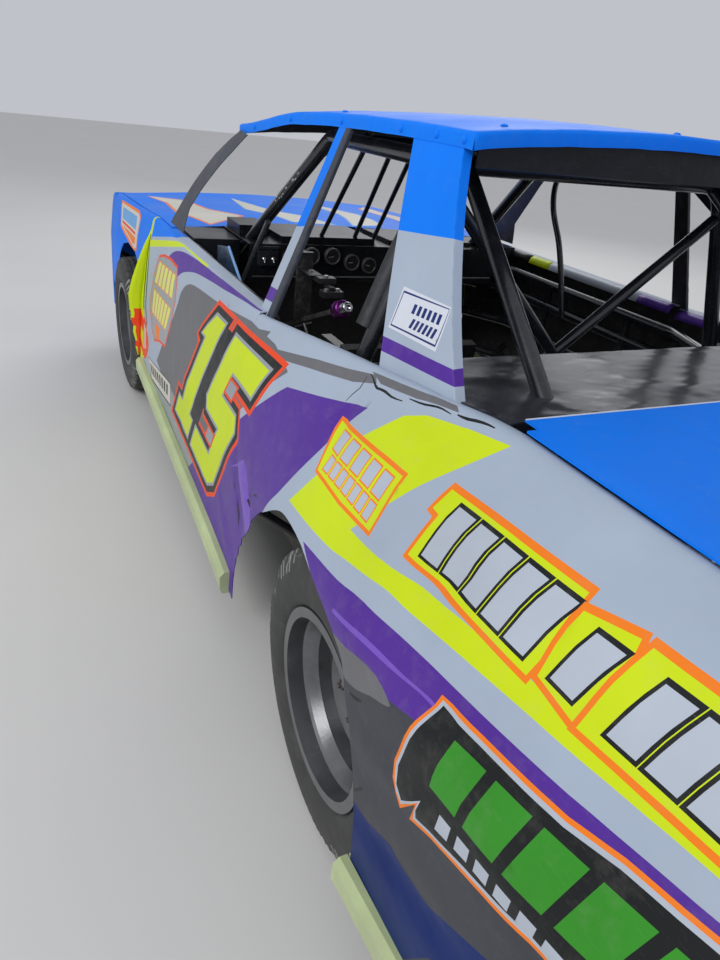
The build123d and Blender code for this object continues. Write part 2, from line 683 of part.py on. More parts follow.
def front_arms():
    """Upper and lower arms from the frame to the kingpin studs, both sides."""
    x, y, z = FRONT_AXLE_X, KINGPIN_Y - 4, AXLE_Z
    pieces = []
    for height, pivot_z, spread in ((z - 107, ARM_PIVOT_Z, 146), (z + 107, z + 90, 100)):
        ring = Pos(x, y, height) * Cylinder(24, 22)
        legs = []
        for s in (1, -1):
            legs.append(bar((x + s * 12, y - 18, height), (x + s * spread, ARM_PIVOT_Y, pivot_z), 22, 18))
        cross_y, cross_z = (ARM_PIVOT_Y - 13, ARM_PIVOT_Y + 13), (pivot_z - 13, pivot_z + 13)
        arm = fuse(ring, *legs, block((x - spread - 20, x + spread + 20), cross_y, cross_z))
        if height < z:
            seat_z = (pivot_z - 9, pivot_z + 7 - CLEAR)
            arm = arm + block((x - 112, x + 112), (SPRING_Y - 22, SPRING_Y + 22), seat_z)
        arm = arm - Pos(x, y, height) * Cylinder(KINGPIN_R + SPINDLE_PLAY, 40)
        pieces += [arm, mirrored(arm)]
    return pieces


def steering_link():
    """Centre link with its tie rods, ending just short of the steering arms' eyes."""
    reach = KINGPIN_Y - 60 - 26
    x, z = FRONT_AXLE_X - STEER_ARM, AXLE_Z - STEER_ARM_DROP
    return tube((x, -reach, z), (x, reach, z), LINK_R)


def package_tray():
    """Tin tray behind the rear window, with the deck lid's hinge pins on its rear lip."""
    faces = []
    between = [row[0] for row in SIDE if TRAY_REAR_X < row[0] < TRAY_FRONT_X]
    for x in [TRAY_REAR_X] + between + [TRAY_FRONT_X]:
        y, z = side_row(x)[0]
        half, top = y - QUARTER_FLANGE - 0.2, z - QUARTER_DROP
        ring = ((x, -half, top), (x, half, top), (x, half, top - 3), (x, -half, top - 3))
        faces.append(make_face(Polyline(*ring, close=True)))
    rear_top = side_row(TRAY_REAR_X)[0][1] - QUARTER_DROP
    lip = block((TRAY_REAR_X, TRAY_REAR_X + 3), (-620, 620), (rear_top - 30, rear_top - 1))
    parts = [loft(faces, ruled=True), lip]
    for y in (-HINGE_Y, HINGE_Y):
        ear_z = (LID_HINGE_Z - 10, LID_HINGE_Z - 2)
        pin = (LID_FRONT_X, y - 12, LID_HINGE_Z), (LID_FRONT_X, y + 17, LID_HINGE_Z)
        parts.append(block((LID_FRONT_X - 6, TRAY_REAR_X + 1), (y + 16, y + 22), ear_z))
        parts.append(tube(*pin, HINGE_PIN_R))
    return fuse(*parts)


def deck_lid():
    """Deck lid sheet, its front corners notched, with two hinge ears under its front edge."""
    thick = (LID_Z, LID_Z + SHEET)
    rear = block((LID_REAR_X, LID_FRONT_X - LID_NOTCH), (-LID_HALF_W, LID_HALF_W), thick)
    front_half = LID_HALF_W - 26
    front = block((LID_FRONT_X - LID_NOTCH, LID_FRONT_X + 3), (-front_half, front_half), thick)
    parts = [rear, front]
    turns = [Pos(LID_FRONT_X, y, LID_HINGE_Z) * Rot(90, 0, 0) for y in (-HINGE_Y, HINGE_Y)]
    for turn, y in zip(turns, (-HINGE_Y, HINGE_Y)):
        parts.append(turn * Cylinder(HINGE_EAR_R, 20))
        web = (LID_FRONT_X - HINGE_EAR_R, LID_FRONT_X + 3), (y - 10, y + 10), (LID_HINGE_Z, LID_Z + 1)
        parts.append(block(*web))
    whole = fuse(*parts)
    for turn in turns:
        whole = whole - turn * Cylinder(HINGE_PIN_R + SPINDLE_PLAY, 60)
    return whole


def tail_panel():
    """Rear sheet inside the quarters, with a top flange that the deck lid rests on."""
    left = inset(side_row(TAIL_X), SHEET + 1)
    top = (left[0][0] - 30, LID_Z - CLEAR)
    low_z = 440
    half = [top, (left[0][0] - 30, 970), left[1], left[2], (left[3][0] - 4, low_z)]
    ring = half + [(-y, z) for y, z in reversed(half)]
    outline = make_face(Polyline(*[(TAIL_X, y, z) for y, z in ring], close=True))
    panel = extrude(outline, amount=SHEET, dir=(1, 0, 0))
    flange = block((TAIL_X, TAIL_X + 30), (-600, 600), (LID_Z - CLEAR - SHEET, LID_Z - CLEAR))
    return panel + flange


def bumpers():
    """Front and rear bumper bars, each on stubs from the frame's ends."""
    ahead, behind = NOSE_TIP_X - 80, TAIL_X - REAR_BUMPER_REACH + TUBE_R
    end, back_end = ahead - 160, TAIL_X + 100
    front = bent_tube([(end, -560, 430), (ahead, -470, 430), (ahead, 470, 430), (end, 560, 430)], 60)
    stubs = [tube((end - 10, s * 400, 350), (ahead, s * 400, 430), SMALL_TUBE_R) for s in (1, -1)]
    back_route = [(back_end, -560, 400), (behind, -500, 400), (behind, 500, 400), (back_end, 560, 400)]
    back = bent_tube(back_route, 60)
    back_stubs = [tube((back_end, s * 455, 420), (behind, s * 455, 400), SMALL_TUBE_R) for s in (1, -1)]
    return [fuse(front, *stubs), fuse(back, *back_stubs)]


def fuel_cell():
    return block((-1000, -520), (-300, 300), (475, 760))


def radiator():
    return block((NOSE_TIP_X - 325, NOSE_TIP_X - 265), (-330, 330), (360, 800))


def exhaust():
    """Collector pipes from both sides of the engine, ending under the floor."""
    pipes = []
    for s in (1, -1):
        x = FIREWALL_X
        route = [(x + 460, s * 215, 500), (x + 340, s * 300, 330)]
        route += [(x + 190, s * 325, 215), (x - 400, s * 335, 208)]
        pipes.append(bent_tube(route, 70, 30) - bent_tube(route, 70, 27))
    return pipes


def skirts():
    """Rub rails along the hems of the doors and the quarters."""
    return [skirt(640, POST_X) + skirt(POST_X, DOOR_FRONT_X - 63), skirt(TAIL_X + 60, -262)]


def side_braces():
    """Tubes from the frame and the cage out to the left side sheets."""
    pieces = []
    for x, y, z, end_x, end_z in SIDE_BRACES:
        pieces.append(tube((x, y, z), (end_x, side_y(end_x, end_z) - 2, end_z), SMALL_TUBE_R))
    return pieces


def roof_posts():
    """Short posts from the cage's top bars to the roof's skin."""
    posts = []
    for x, y, z in ((HOOP_X, 300, HOOP_Z), (1285, 300, HALO_Z - 4)):
        for s in (1, -1):
            posts.append(tube((x, s * y, z), (x, s * y, roof_z(x, y) - 2), SMALL_TUBE_R))
    return posts


def fit(pieces, *others):
    """Pieces with whatever the others fill cut away, keeping each piece's largest solid."""
    kept = []
    for piece in pieces:
        for other in others:
            piece = piece - other
        kept.append(max(piece.solids(), key=lambda solid: solid.volume))
    return kept


def both(left):
    """A left-hand list of pieces with its mirror images."""
    return left + [mirrored(piece) for piece in left]


def build():
    nodes = {}
    nodes["frame_rails"] = [frame()]
    rails = nodes["frame_rails"][0]
    nodes["roll_cage"] = fit([roll_cage()], rails)
    cage = nodes["roll_cage"][0]
    nodes["door_bars_left"] = fit([door_bars(1, (450, 620, 780))], cage)
    nodes["door_bars_right"] = fit([door_bars(-1, (450, 620, 760, 850))], cage)
    nodes["rear_braces"] = fit([rear_braces(), hoop_cross()], cage, rails)
    braces = nodes["rear_braces"][0]

    for name, maker in (("fender", fender), ("door", door), ("quarter", quarter)):
        left = maker()
        nodes[name + "_left"] = [left]
        nodes[name + "_right"] = [mirrored(left)]
    sides = [nodes[name + "_left"][0] for name in ("fender", "door", "quarter")]
    nodes["roof"] = [roof()]
    top = nodes["roof"][0]
    nodes["sail_panels"] = both(fit([sail()], top, *sides))
    nodes["pillars"] = both(fit([window_post(), a_pillar()], top, *sides))
    nodes["hood"] = [hood()]
    nodes["nose"] = [nose()]
    nodes["skirts"] = both(fit(skirts(), *sides))
    nodes["package_tray"] = fit([package_tray()], braces)
    nodes["deck_lid"] = [deck_lid()]
    nodes["tail_panel"] = fit([tail_panel()], nodes["quarter_left"][0], nodes["quarter_right"][0])

    nodes["floor_pan"] = fit([floor_pan()], rails, cage)
    nodes["firewall"] = fit([firewall()], cage)
    nodes["dash"] = fit([dash()], cage)
    nodes["steering_column"] = fit([steering_column()], cage, nodes["dash"][0], nodes["firewall"][0])
    nodes["seat"] = [seat()]
    nodes["engine_block"] = [engine_block()]
    nodes["rear_axle"] = fit([rear_axle()], rails)
    nodes["driveline"] = fit([driveline()], nodes["rear_axle"][0])
    nodes["springs"] = springs()
    nodes["fuel_cell"] = [fuel_cell()]
    nodes["radiator"] = [radiator()]
    nodes["exhaust"] = fit(exhaust(), nodes["engine_block"][0])
    nodes["bumpers"] = fit(bumpers(), rails, nodes["nose"][0], nodes["tail_panel"][0])
    nodes["rear_bulkhead"] = fit([rear_bulkhead()], rails, braces)
    side_bars = nodes["door_bars_left"] + nodes["door_bars_right"]
    side_tubes = fit(both(fit(side_braces(), rails, cage, *sides)), *side_bars)
    nodes["body_braces"] = side_tubes + fit(roof_posts(), cage, top)

    nodes["front_arms"] = front_arms()
    nodes["knuckle_left"] = [knuckle()]
    nodes["knuckle_right"] = [mirrored(knuckle())]
    nodes["steering_link"] = [steering_link()]
    for axle, x, face_y in (("front", FRONT_AXLE_X, FRONT_RIM_FACE_Y), ("rear", 0, REAR_RIM_FACE_Y)):
        rim = Pos(x, 0, AXLE_Z) * wheel(face_y)
        rubber = Pos(x, 0, AXLE_Z) * tyre(face_y)
        nodes[f"wheel_{axle}_left"] = [rim]
        nodes[f"wheel_{axle}_right"] = [mirrored(rim)]
        nodes[f"tyre_{axle}_left"] = [rubber]
        nodes[f"tyre_{axle}_right"] = [mirrored(rubber)]
    return nodes


if __name__ == "__main__":
    os.makedirs("parts", exist_ok=True)
    for name, solids in build().items():
        shape = solids[0] if len(solids) == 1 else Compound(solids)
        export_step(Pos(SHIFT_X, 0, 0) * shape, f"parts/{name}.step")
        print(name, len(shape.solids()), round(shape.volume / 1e6, 3))
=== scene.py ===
"""Looks of the dirt-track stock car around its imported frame."""
import math
import random
import bmesh
import bpy
from mathutils import Matrix, Vector, geometry, noise


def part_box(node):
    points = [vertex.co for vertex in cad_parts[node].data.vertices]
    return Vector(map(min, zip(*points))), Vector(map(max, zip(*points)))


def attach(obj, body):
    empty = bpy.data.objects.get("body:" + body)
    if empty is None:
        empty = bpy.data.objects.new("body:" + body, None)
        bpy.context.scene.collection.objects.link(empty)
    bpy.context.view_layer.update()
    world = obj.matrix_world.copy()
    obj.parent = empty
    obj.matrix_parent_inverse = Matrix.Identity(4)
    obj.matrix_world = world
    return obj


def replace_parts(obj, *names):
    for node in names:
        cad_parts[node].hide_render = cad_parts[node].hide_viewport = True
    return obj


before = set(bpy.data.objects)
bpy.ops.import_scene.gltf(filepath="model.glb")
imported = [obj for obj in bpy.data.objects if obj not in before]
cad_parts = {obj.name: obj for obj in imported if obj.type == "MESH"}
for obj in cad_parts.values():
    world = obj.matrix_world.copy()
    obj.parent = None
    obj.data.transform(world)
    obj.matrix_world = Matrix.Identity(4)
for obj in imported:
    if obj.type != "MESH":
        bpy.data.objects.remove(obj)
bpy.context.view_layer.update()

# Places taken from the frame, in metres
TYRE_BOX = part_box("tyre_rear_left")
REAR_X = (TYRE_BOX[0][0] + TYRE_BOX[1][0]) / 2
AXLE_Z = (TYRE_BOX[0][2] + TYRE_BOX[1][2]) / 2
FRONT_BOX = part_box("tyre_front_left")
WHEELBASE = (FRONT_BOX[0][0] + FRONT_BOX[1][0]) / 2 - REAR_X

# The photograph's camera: its place from the rear axle's middle, and where it looks
CAMERA_PLACE = (-0.9568, 1.3562, 1.4292)
CAMERA_HEADING = 27.45
CAMERA_DROP = 27.70
CAMERA_ROLL = 6.57
CAMERA_LENS = 26.30
SENSOR = 36.0

# Body side, as the part has it: x from the rear axle, then y and z of shoulder, waist, flank, hem
SIDE = (
    (-1.290, 0.664, 0.998, 0.790, 0.880, 0.884, 0.640, 0.904, 0.330),
    (-0.600, 0.660, 1.003, 0.795, 0.890, 0.918, 0.650, 0.936, 0.190),
    (-0.100, 0.662, 1.002, 0.795, 0.880, 0.921, 0.652, 0.936, 0.170),
    (0.280, 0.712, 0.972, 0.812, 0.850, 0.906, 0.640, 0.924, 0.165),
    (0.820, 0.793, 0.930, 0.835, 0.780, 0.880, 0.520, 0.903, 0.175),
    (2.325, 0.795, 0.930, 0.830, 0.800, 0.865, 0.580, 0.885, 0.262),
    (2.743, 0.798, 0.905, 0.825, 0.810, 0.856, 0.640, 0.872, 0.330),
    (3.200, 0.801, 0.885, 0.822, 0.800, 0.850, 0.640, 0.862, 0.350),
    (3.500, 0.800, 0.872, 0.815, 0.800, 0.838, 0.650, 0.846, 0.400),
)
# Roof: x, half width, height of the side crease
ROOF = ((0.265, 0.565, 1.416), (0.620, 0.578, 1.420), (1.150, 0.600, 1.405), (1.640, 0.622, 1.347))
ROOF_CROWN = 0.036
ROOF_PEAK = 1.453
# Width of each sheet's flange along the belt, and how far it drops
FLANGE = {"fender": (0.070, 0.0), "door": (0.045, 0.0), "quarter": (0.030, 0.014)}
# Rear end of the door, height of the deck lid's skin, radius where the tread begins
DOOR_END = 0.82
DECK_Z = 1.0053
SHOULDER_R = 0.3262
# A number's corner on the left and its mirrored one on the right add up to this x
NUMBER_SPAN = 2.091
# Limit on how far a grown outline's sharp corners reach out
SHARPEST_MITRE = 0.45
SIDES = ((1, "left"), (-1, "right"))


# Materials

def srgb(r, g, b):
    return tuple(c / 255 / 12.92 if c <= 10 else ((c / 255 + 0.055) / 1.055) ** 2.4 for c in (r, g, b))


def finish(name, colour, rough=0.4, metal=0.0, shade=0.25, patch=4.0, grain=180.0, bump=0.1, dust=0.0,
           scratch=0.0, coat=0.0, dust_colour=(0.42, 0.38, 0.33), ripple=0.0, sheen=0.5):
    """Worn surface: patches of shade, dust that thickens low down, fine scratches and grain."""
    material = bpy.data.materials.new(name)
    material.use_nodes = True
    tree = material.node_tree

    def fill(made, inputs):
        for key, value in inputs.items():
            socket = made.inputs[key]
            if isinstance(value, bpy.types.NodeSocket):
                tree.links.new(value, socket)
            else:
                socket.default_value = (*value, 1) if socket.type == "RGBA" else value

    def node(kind, inputs, **settings):
        """Shader node with its inputs linked or set, by name or number."""
        made = tree.nodes.new("ShaderNode" + kind)
        for key, value in settings.items():
            setattr(made, key, value)
        fill(made, inputs)
        return made

    def specks(scale, detail, rough_value=0.55, vector=None):
        return node("TexNoise", {"Vector": vector or place, "Scale": scale, "Detail": detail,
                                 "Roughness": rough_value}).outputs["Fac"]

    def ramp(source, low, high, to_low=0.0, to_high=1.0):
        return node("MapRange", {"Value": source, "From Min": low, "From Max": high,
                                 "To Min": to_low, "To Max": to_high}).outputs["Result"]

    def mix(factor, a, b):
        return node("Mix", {0: factor, 6: a, 7: b}, data_type="RGBA").outputs[2]

    def combine(operation, a, b):
        return node("Math", {0: a, 1: b}, operation=operation).outputs[0]

    place = node("TexCoord", {}).outputs["Object"]
    patches = specks(patch, 5)
    bright = tuple(min(1.0, c * (1 + 0.4 * shade) + 0.01 * shade) for c in colour)
    look = mix(ramp(patches, 0.3, 0.7), tuple(c * (1 - shade) for c in colour), bright)
    if scratch:
        lines = node("Mapping", {"Vector": place, "Rotation": (0.2, 0.35, 0.1), "Scale": (3, 3, 60)})
        hair = ramp(specks(9, 4, 0.7, lines.outputs["Vector"]), 0.62, 0.70)
        look = mix(combine("MULTIPLY", hair, scratch), look, tuple(0.5 * c + 0.35 for c in colour))
    if dust:
        height = node("SeparateXYZ", {"Vector": place}).outputs["Z"]
        low_down = combine("MULTIPLY", ramp(height, 0.75, 0.15), 0.35)
        spread = combine("ADD", low_down, ramp(specks(26, 8, 0.7), 0.50, 0.78))
        look = mix(combine("MULTIPLY", spread, dust), look, dust_colour)
    relief = {"Height": specks(grain, 3), "Strength": bump, "Distance": 0.002}
    if ripple:
        waves = node("Bump", {"Height": specks(7, 2), "Strength": ripple, "Distance": 0.02})
        relief["Normal"] = waves.outputs["Normal"]
    shine = {"Base Color": look, "Metallic": metal, "Specular IOR Level": sheen,
             "Roughness": ramp(patches, 0.25, 0.85, max(0.03, rough * 0.75), min(1.0, rough * 1.3)),
             "Normal": node("Bump", relief).outputs["Normal"]}
    if coat:
        shine |= {"Coat Weight": coat, "Coat Roughness": 0.12}
    fill(tree.nodes["Principled BSDF"], shine)
    return material


def vinyl(name, rgb, rough=0.33, shade=0.12, dust=0.10):
    return finish(name, srgb(*rgb), rough + 0.08, 0.0, shade, 3.0, 240, 0.05, dust, 0.10, ripple=0.12,
                  sheen=0.22)


# Vinyls of the livery: colour, then roughness, shade and dust where they differ
VINYLS = {
    "grey": ((167, 180, 197), 0.28, 0.10),
    "dark": ((108, 108, 112), 0.36),
    "low": ((62, 64, 72), 0.34, 0.22, 0.06),
    "silver": ((150, 156, 162), 0.22, 0.10),
    "pale_blue": ((110, 168, 222), 0.35, 0.15),
    "navy": ((28, 44, 110), 0.35),
    "yellow": ((206, 226, 16), 0.36, 0.08),
    "pale_yellow": ((222, 228, 120), 0.38, 0.08),
    "purple": ((84, 44, 150), 0.30, 0.14),
    "violet": ((120, 84, 190), 0.30, 0.10),
    "orange": ((246, 128, 28), 0.38, 0.08),
    "red": ((238, 74, 30), 0.38, 0.08),
    "black": ((24, 27, 28), 0.34, 0.20),
    "green": ((56, 150, 40), 0.36, 0.22),
    "white": ((184, 192, 204), 0.30, 0.16),
    "cream": ((212, 208, 196), 0.36, 0.08),
}
TYRE_DUST = (0.12, 0.115, 0.105)
M = {key: vinyl(key + "_vinyl", *row) for key, row in VINYLS.items()}
M |= {
    # Charcoal: the front pillar's own paint, and painted shade on the window post's rear part
    "pillar": vinyl("charcoal_paint_and_shade", (60, 64, 74), 0.34, 0.14),
    # Pale white: the sail's sticker, and a painted highlight along the deck lid's front edge
    "sticker_and_highlight": vinyl("sticker_and_highlight_white", (212, 217, 226), 0.35, 0.05),
    "blue": finish("blue_vinyl", srgb(6, 124, 246), 0.46, 0, 0.08, 3, 240, 0.05, 0.04, 0.06, ripple=0.12,
                   sheen=0.1),
    "deep_blue": finish("deep_blue_vinyl", srgb(10, 40, 108), 0.34, 0, 0.25, 3, 240, 0.05, 0, 0.06,
                        ripple=0.2,
                        sheen=0.12),
    "inner": finish("inner_black", (0.02, 0.02, 0.022), 0.45, 0, 0.5, 5, 160, 0.15, 0.15),
    "tin": finish("black_tin_paint", (0.018, 0.018, 0.021), 0.42, 0, 0.5, 4, 150, 0.12, 0.12, 0.1),
    "gloss_tin": finish("gloss_black_tin", (0.018, 0.02, 0.028), 0.24, 0, 0.5, 6, 200, 0.05, 0.06, 0.22, 0.25,
                        ripple=0.15),
    "ring": finish("dark_ring", (0.09, 0.09, 0.095), 0.42, 0.3, 0.3, 30, 260, 0.05),
    "tape": finish("peeling_tape", srgb(196, 196, 188), 0.7, 0, 0.3, 40, 160, 0.2),
    "glaze": finish("smoked_plastic", srgb(48, 66, 92), 0.22, 0, 0.4, 14, 200, 0.05, 0.1, 0.6),
    "strut": finish("grey_tube", (0.1, 0.11, 0.12), 0.28, 0.5, 0.3, 12, 200, 0.08, 0.05, 0.2),
    "padding": finish("black_padding", (0.02, 0.021, 0.026), 0.5, 0, 0.4, 16, 140, 0.25, 0.12),
    # Light blue: painted highlight for the smoked panel's edge
    "edge_highlight_blue": finish("light_blue_edge_highlight", srgb(120, 170, 226), 0.3, 0, 0.1, 20, 200, 0.05),
    "tube": finish("gloss_black_tube", (0.012, 0.014, 0.02), 0.26, 0, 0.4, 9, 220, 0.06, 0.05, 0.1, 0.4),
    "frame_paint": finish("frame_paint", (0.02, 0.02, 0.022), 0.45, 0, 0.5, 7, 140, 0.15, 0.35),
    "rim": finish("rim_steel", (0.2, 0.205, 0.215), 0.34, 0.75, 0.35, 9, 120, 0.15, 0.25, 0.25,
                  dust_colour=TYRE_DUST),
    "hub": finish("hub_steel", (0.1, 0.1, 0.1), 0.5, 0.7, 0.4, 20, 150, 0.2, 0.45),
    "steel": finish("dull_steel", (0.33, 0.33, 0.34), 0.4, 0.9, 0.3, 12, 160, 0.15, 0.15),
    "chrome": finish("plated_steel", (0.6, 0.6, 0.62), 0.22, 0.95, 0.2, 20, 200, 0.05),
    "cast": finish("cast_iron", (0.1, 0.1, 0.1), 0.62, 0.5, 0.4, 14, 90, 0.5, 0.3),
    "aluminium": finish("aluminium", (0.55, 0.56, 0.58), 0.38, 0.9, 0.2, 10, 160, 0.15, 0.15),
    "plastic": finish("skirt_plastic", srgb(190, 206, 150), 0.42, 0, 0.18, 6, 120, 0.2, 0.35, 0.3),
    "rubber": finish("tyre_rubber", (0.03, 0.031, 0.031), 0.66, 0, 0.4, 18, 110, 0.35, 0.3,
                     dust_colour=TYRE_DUST),
    "scuffed": finish("scuffed_rubber", (0.055, 0.056, 0.054), 0.8, 0, 0.5, 60, 90, 0.5, 0.5,
                      dust_colour=(0.17, 0.165, 0.15)),
    "chalk": finish("worn_edges", (0.3, 0.3, 0.28), 0.85, 0, 0.3, 60, 90, 0.3),
    "nose": finish("blue_plastic", srgb(6, 120, 240), 0.46, 0, 0.1, 4, 160, 0.15, 0.08, 0.12, sheen=0.12),
    "panel": finish("black_panel", (0.007, 0.008, 0.012), 0.34, 0, 0.5, 5, 160, 0.08, 0.04, 0.12, ripple=0.1,
                    sheen=0.3),
    "dial": finish("dial_black", (0.012, 0.012, 0.013), 0.3, 0, 0.3, 30, 260, 0.05),
    "needle": finish("dial_marks", (0.75, 0.75, 0.72), 0.45, 0, 0.1, 30, 260, 0.05),
    "anodised": finish("purple_anodised", srgb(120, 40, 130), 0.28, 0.75, 0.2, 30, 260, 0.08),
}


# Pieces

def add(name, data, body="chassis"):
    """Object that rides on a body."""
    made = bpy.data.objects.new(name, data)
    bpy.context.collection.objects.link(made)
    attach(made, body)
    return made


def piece(name, verts, faces, materials, slot, smooth=True, which=None, body="chassis"):
    """Mesh object; which gives each face's material."""
    mesh = bpy.data.meshes.new(name)
    mesh.from_pydata(verts, [], faces)
    for key in materials:
        mesh.materials.append(M[key])
    if which:
        mesh.polygons.foreach_set("material_index", which)
    mesh.polygons.foreach_set("use_smooth", [smooth] * len(mesh.polygons))
    mesh.update()
    return add(name, mesh, body)


def join(parts):
    """Verts and faces of many parts as one."""
    verts, faces = [], []
    for more_verts, more_faces in parts:
        start = len(verts)
        verts += more_verts
        faces += [tuple(start + i for i in face) for face in more_faces]
    return verts, faces


def group(name, parts, material, slot, smooth=False, edge=0.0, body="chassis"):
    """One piece from many parts, with its edges rounded by edge."""
    made = piece(name, *join(parts), (material,), slot, smooth, body=body)
    if edge:
        bevel = made.modifiers.new("edges", "BEVEL")
        bevel.width = edge
        bevel.segments = 2
        bevel.limit_method = "ANGLE"
        bevel.angle_limit = math.radians(30)
    return made


def thicken(made, thick):
    solid = made.modifiers.new("thick", "SOLIDIFY")
    solid.thickness = thick
    return solid


def brick(low, high, turn=None, about=None):
    """Box between two corners, x from the rear axle, turned about a point of the scene."""
    points = [Vector((x + REAR_X, y, z)) for x in (low[0], high[0]) for y in (low[1], high[1])
              for z in (low[2], high[2])]
    if turn is not None:
        about = Vector(about)
        points = [about + turn @ (p - about) for p in points]
    faces = [(0, 1, 3, 2), (4, 6, 7, 5), (0, 4, 5, 1), (2, 3, 7, 6), (0, 2, 6, 4), (1, 5, 7, 3)]
    return [tuple(p) for p in points], faces


def lattice(rows, closed=False, order=(0, 1, 2, 3)):
    """Verts and quads of rows of points; order turns each quad's corners."""
    count = len(rows[0])
    verts = [tuple(p) for row in rows for p in row]
    faces = []
    for i in range(len(rows) if closed else len(rows) - 1):
        j = (i + 1) % len(rows)
        for k in range(count - 1):
            quad = (i * count + k, j * count + k, j * count + k + 1, i * count + k + 1)
            faces.append(tuple(quad[n] for n in order))
    return verts, faces


def turned(profile, centre, axis, segments=48):
    """Surface of revolution: profile of radius and height along the axis."""
    axis = Vector(axis).normalized()
    side = axis.orthogonal().normalized()
    other = axis.cross(side)
    centre = Vector(centre)
    rows = []
    for i in range(segments):
        a = 2 * math.pi * i / segments
        out = math.cos(a) * side + math.sin(a) * other
        rows.append([centre + out * r + axis * h for r, h in profile])
    return lattice(rows, True)


def tube(name, points, radius, material):
    """Round tube along a smooth run of points, x from the rear axle."""
    curve = bpy.data.curves.new("run", "CURVE")
    curve.dimensions = "3D"
    spline = curve.splines.new("BEZIER")
    spline.bezier_points.add(len(points) - 1)
    for target, (x, y, z) in zip(spline.bezier_points, points):
        target.co = (x + REAR_X, y, z)
        target.handle_left_type = target.handle_right_type = "AUTO"
    curve.bevel_depth = radius
    curve.bevel_resolution = 2
    curve.resolution_u = 8
    curve.use_fill_caps = True
    curve.materials.append(M[material])
    return add(name, curve)


# Sheets cut from flat outlines

def mm(*numbers):
    """Points from their two coordinates in turn, in millimetres."""
    return [(a / 1000, b / 1000) for a, b in zip(numbers[::2], numbers[1::2])]


def wave(*at):
    return noise.noise(Vector(at))


def divide(points, step, closed=True):
    """Outline with its long edges divided."""
    out = []
    for (x0, y0), (x1, y1) in zip(points, points[1:] + points[:1] if closed else points[1:]):
        count = max(1, int(math.hypot(x1 - x0, y1 - y0) / step))
        out += [(x0 + (x1 - x0) * i / count, y0 + (y1 - y0) * i / count) for i in range(count)]
    return out if closed else out + [points[-1]]


def curve_line(points, per=4):
    """Points along a smooth curve through the given ones."""
    out = []
    for i in range(len(points) - 1):
        p = [points[max(i - 1, 0)], points[i], points[i + 1], points[min(i + 2, len(points) - 1)]]
        for t in (k / per for k in range(per)):
            out.append(tuple(
                0.5 * (2 * p[1][a] + (p[2][a] - p[0][a]) * t
                       + (2 * p[0][a] - 5 * p[1][a] + 4 * p[2][a] - p[3][a]) * t * t
                       + (3 * p[1][a] - p[0][a] - 3 * p[2][a] + p[3][a]) * t ** 3) for a in (0, 1)))
    return out + [tuple(points[-1])]


def area(ring):
    """Twice a closed outline's area, above 0 where it runs anticlockwise."""
    return sum(a[0] * b[1] - b[0] * a[1] for a, b in zip(ring, ring[1:] + ring[:1]))


def grow(points, distance):
    """Closed outline moved outwards by distance."""
    sign = 1 if area(points) > 0 else -1
    out = []
    for i, p in enumerate(points):
        before, after, p = Vector(points[i - 1]), Vector(points[(i + 1) % len(points)]), Vector(p)
        a, b = (p - before).normalized(), (after - p).normalized()
        na, nb = Vector((a.y, -a.x)) * sign, Vector((b.y, -b.x)) * sign
        out.append(tuple(p + (na + nb) * (distance / max(SHARPEST_MITRE, 1 + na.dot(nb)))))
    return out


def sheet(name, outline, place, layers=(), base="grey", step=0.025, outward=(0, 0, 1), slot="painted_body",
          body="chassis", back="inner", thick=0.0022, holes=(), extra=(), edge_step=0.02):
    """Sheet cut from a flat outline, coloured by its topmost layer, and placed by a function."""
    lows, highs = ([pick(p[a] for p in outline) for a in (0, 1)] for pick in (min, max))
    kept = [(ring, colour) for ring, colour in layers
            if all(max(p[a] for p in ring) > lows[a] and min(p[a] for p in ring) < highs[a] for a in (0, 1))]
    points, faces = [], []
    for ring in [outline, *(ring for ring, _ in kept), *holes]:
        ring = divide(list(ring), edge_step)
        if area(ring) < 0:
            ring = ring[::-1]
        faces.append(list(range(len(points), len(points) + len(ring))))
        points += ring
    wide, high = highs[0] - lows[0], highs[1] - lows[1]
    columns, rows = int(wide / step), int(high / step)
    for i in range(1, columns):
        for j in range(1, rows + 1):
            points.append((lows[0] + (i + 0.5 * (j % 2)) * wide / columns, lows[1] + (j - 0.5) * high / rows))
    points += list(extra)
    flat, _, triangles, _, _, owners = geometry.delaunay_2d_cdt([Vector(p) for p in points], [], faces, 0,
                                                                1e-5)
    names = [base] + [colour for _, colour in kept]
    slots = list(dict.fromkeys(names)) + [back]
    used, which = [], []
    for triangle, owner in zip(triangles, owners):
        if 0 in owner and max(owner) < len(names):
            used.append(tuple(triangle))
            which.append(slots.index(names[max(owner)]))
    live = sorted({i for t in used for i in t})
    order = {old: new for new, old in enumerate(live)}
    verts = [tuple(place(flat[i].x, flat[i].y)) for i in live]
    used = [tuple(order[i] for i in t) for t in used]
    total = Vector((0, 0, 0))
    for a, b, c in used[:: max(1, len(used) // 200)]:
        pa, pb, pc = Vector(verts[a]), Vector(verts[b]), Vector(verts[c])
        total += (pb - pa).cross(pc - pa)
    if total.dot(Vector(outward)) < 0:
        used = [t[::-1] for t in used]
    made = piece(name, verts, used, slots, slot, True, which, body)
    shape = bmesh.new()
    shape.from_mesh(made.data)
    for edge in shape.edges:
        if edge.is_boundary:
            edge.smooth = False
    shape.to_mesh(made.data)
    shape.free()
    solid = thicken(made, thick)
    solid.offset = -1
    solid.material_offset = len(slots)
    solid.use_even_offset = False
    return made


# Body side

def side_row(x):
    """Shoulder, waist, flank and hem of the side at x, each with y and z."""
    x = min(max(x, SIDE[0][0]), SIDE[-1][0])
    for low, high in zip(SIDE, SIDE[1:]):
        if x <= high[0]:
            break
    share = (x - low[0]) / (high[0] - low[0])
    row = [a + share * (b - a) for a, b in zip(low, high)]
    return [(row[i], row[i + 1]) for i in (1, 3, 5, 7)]


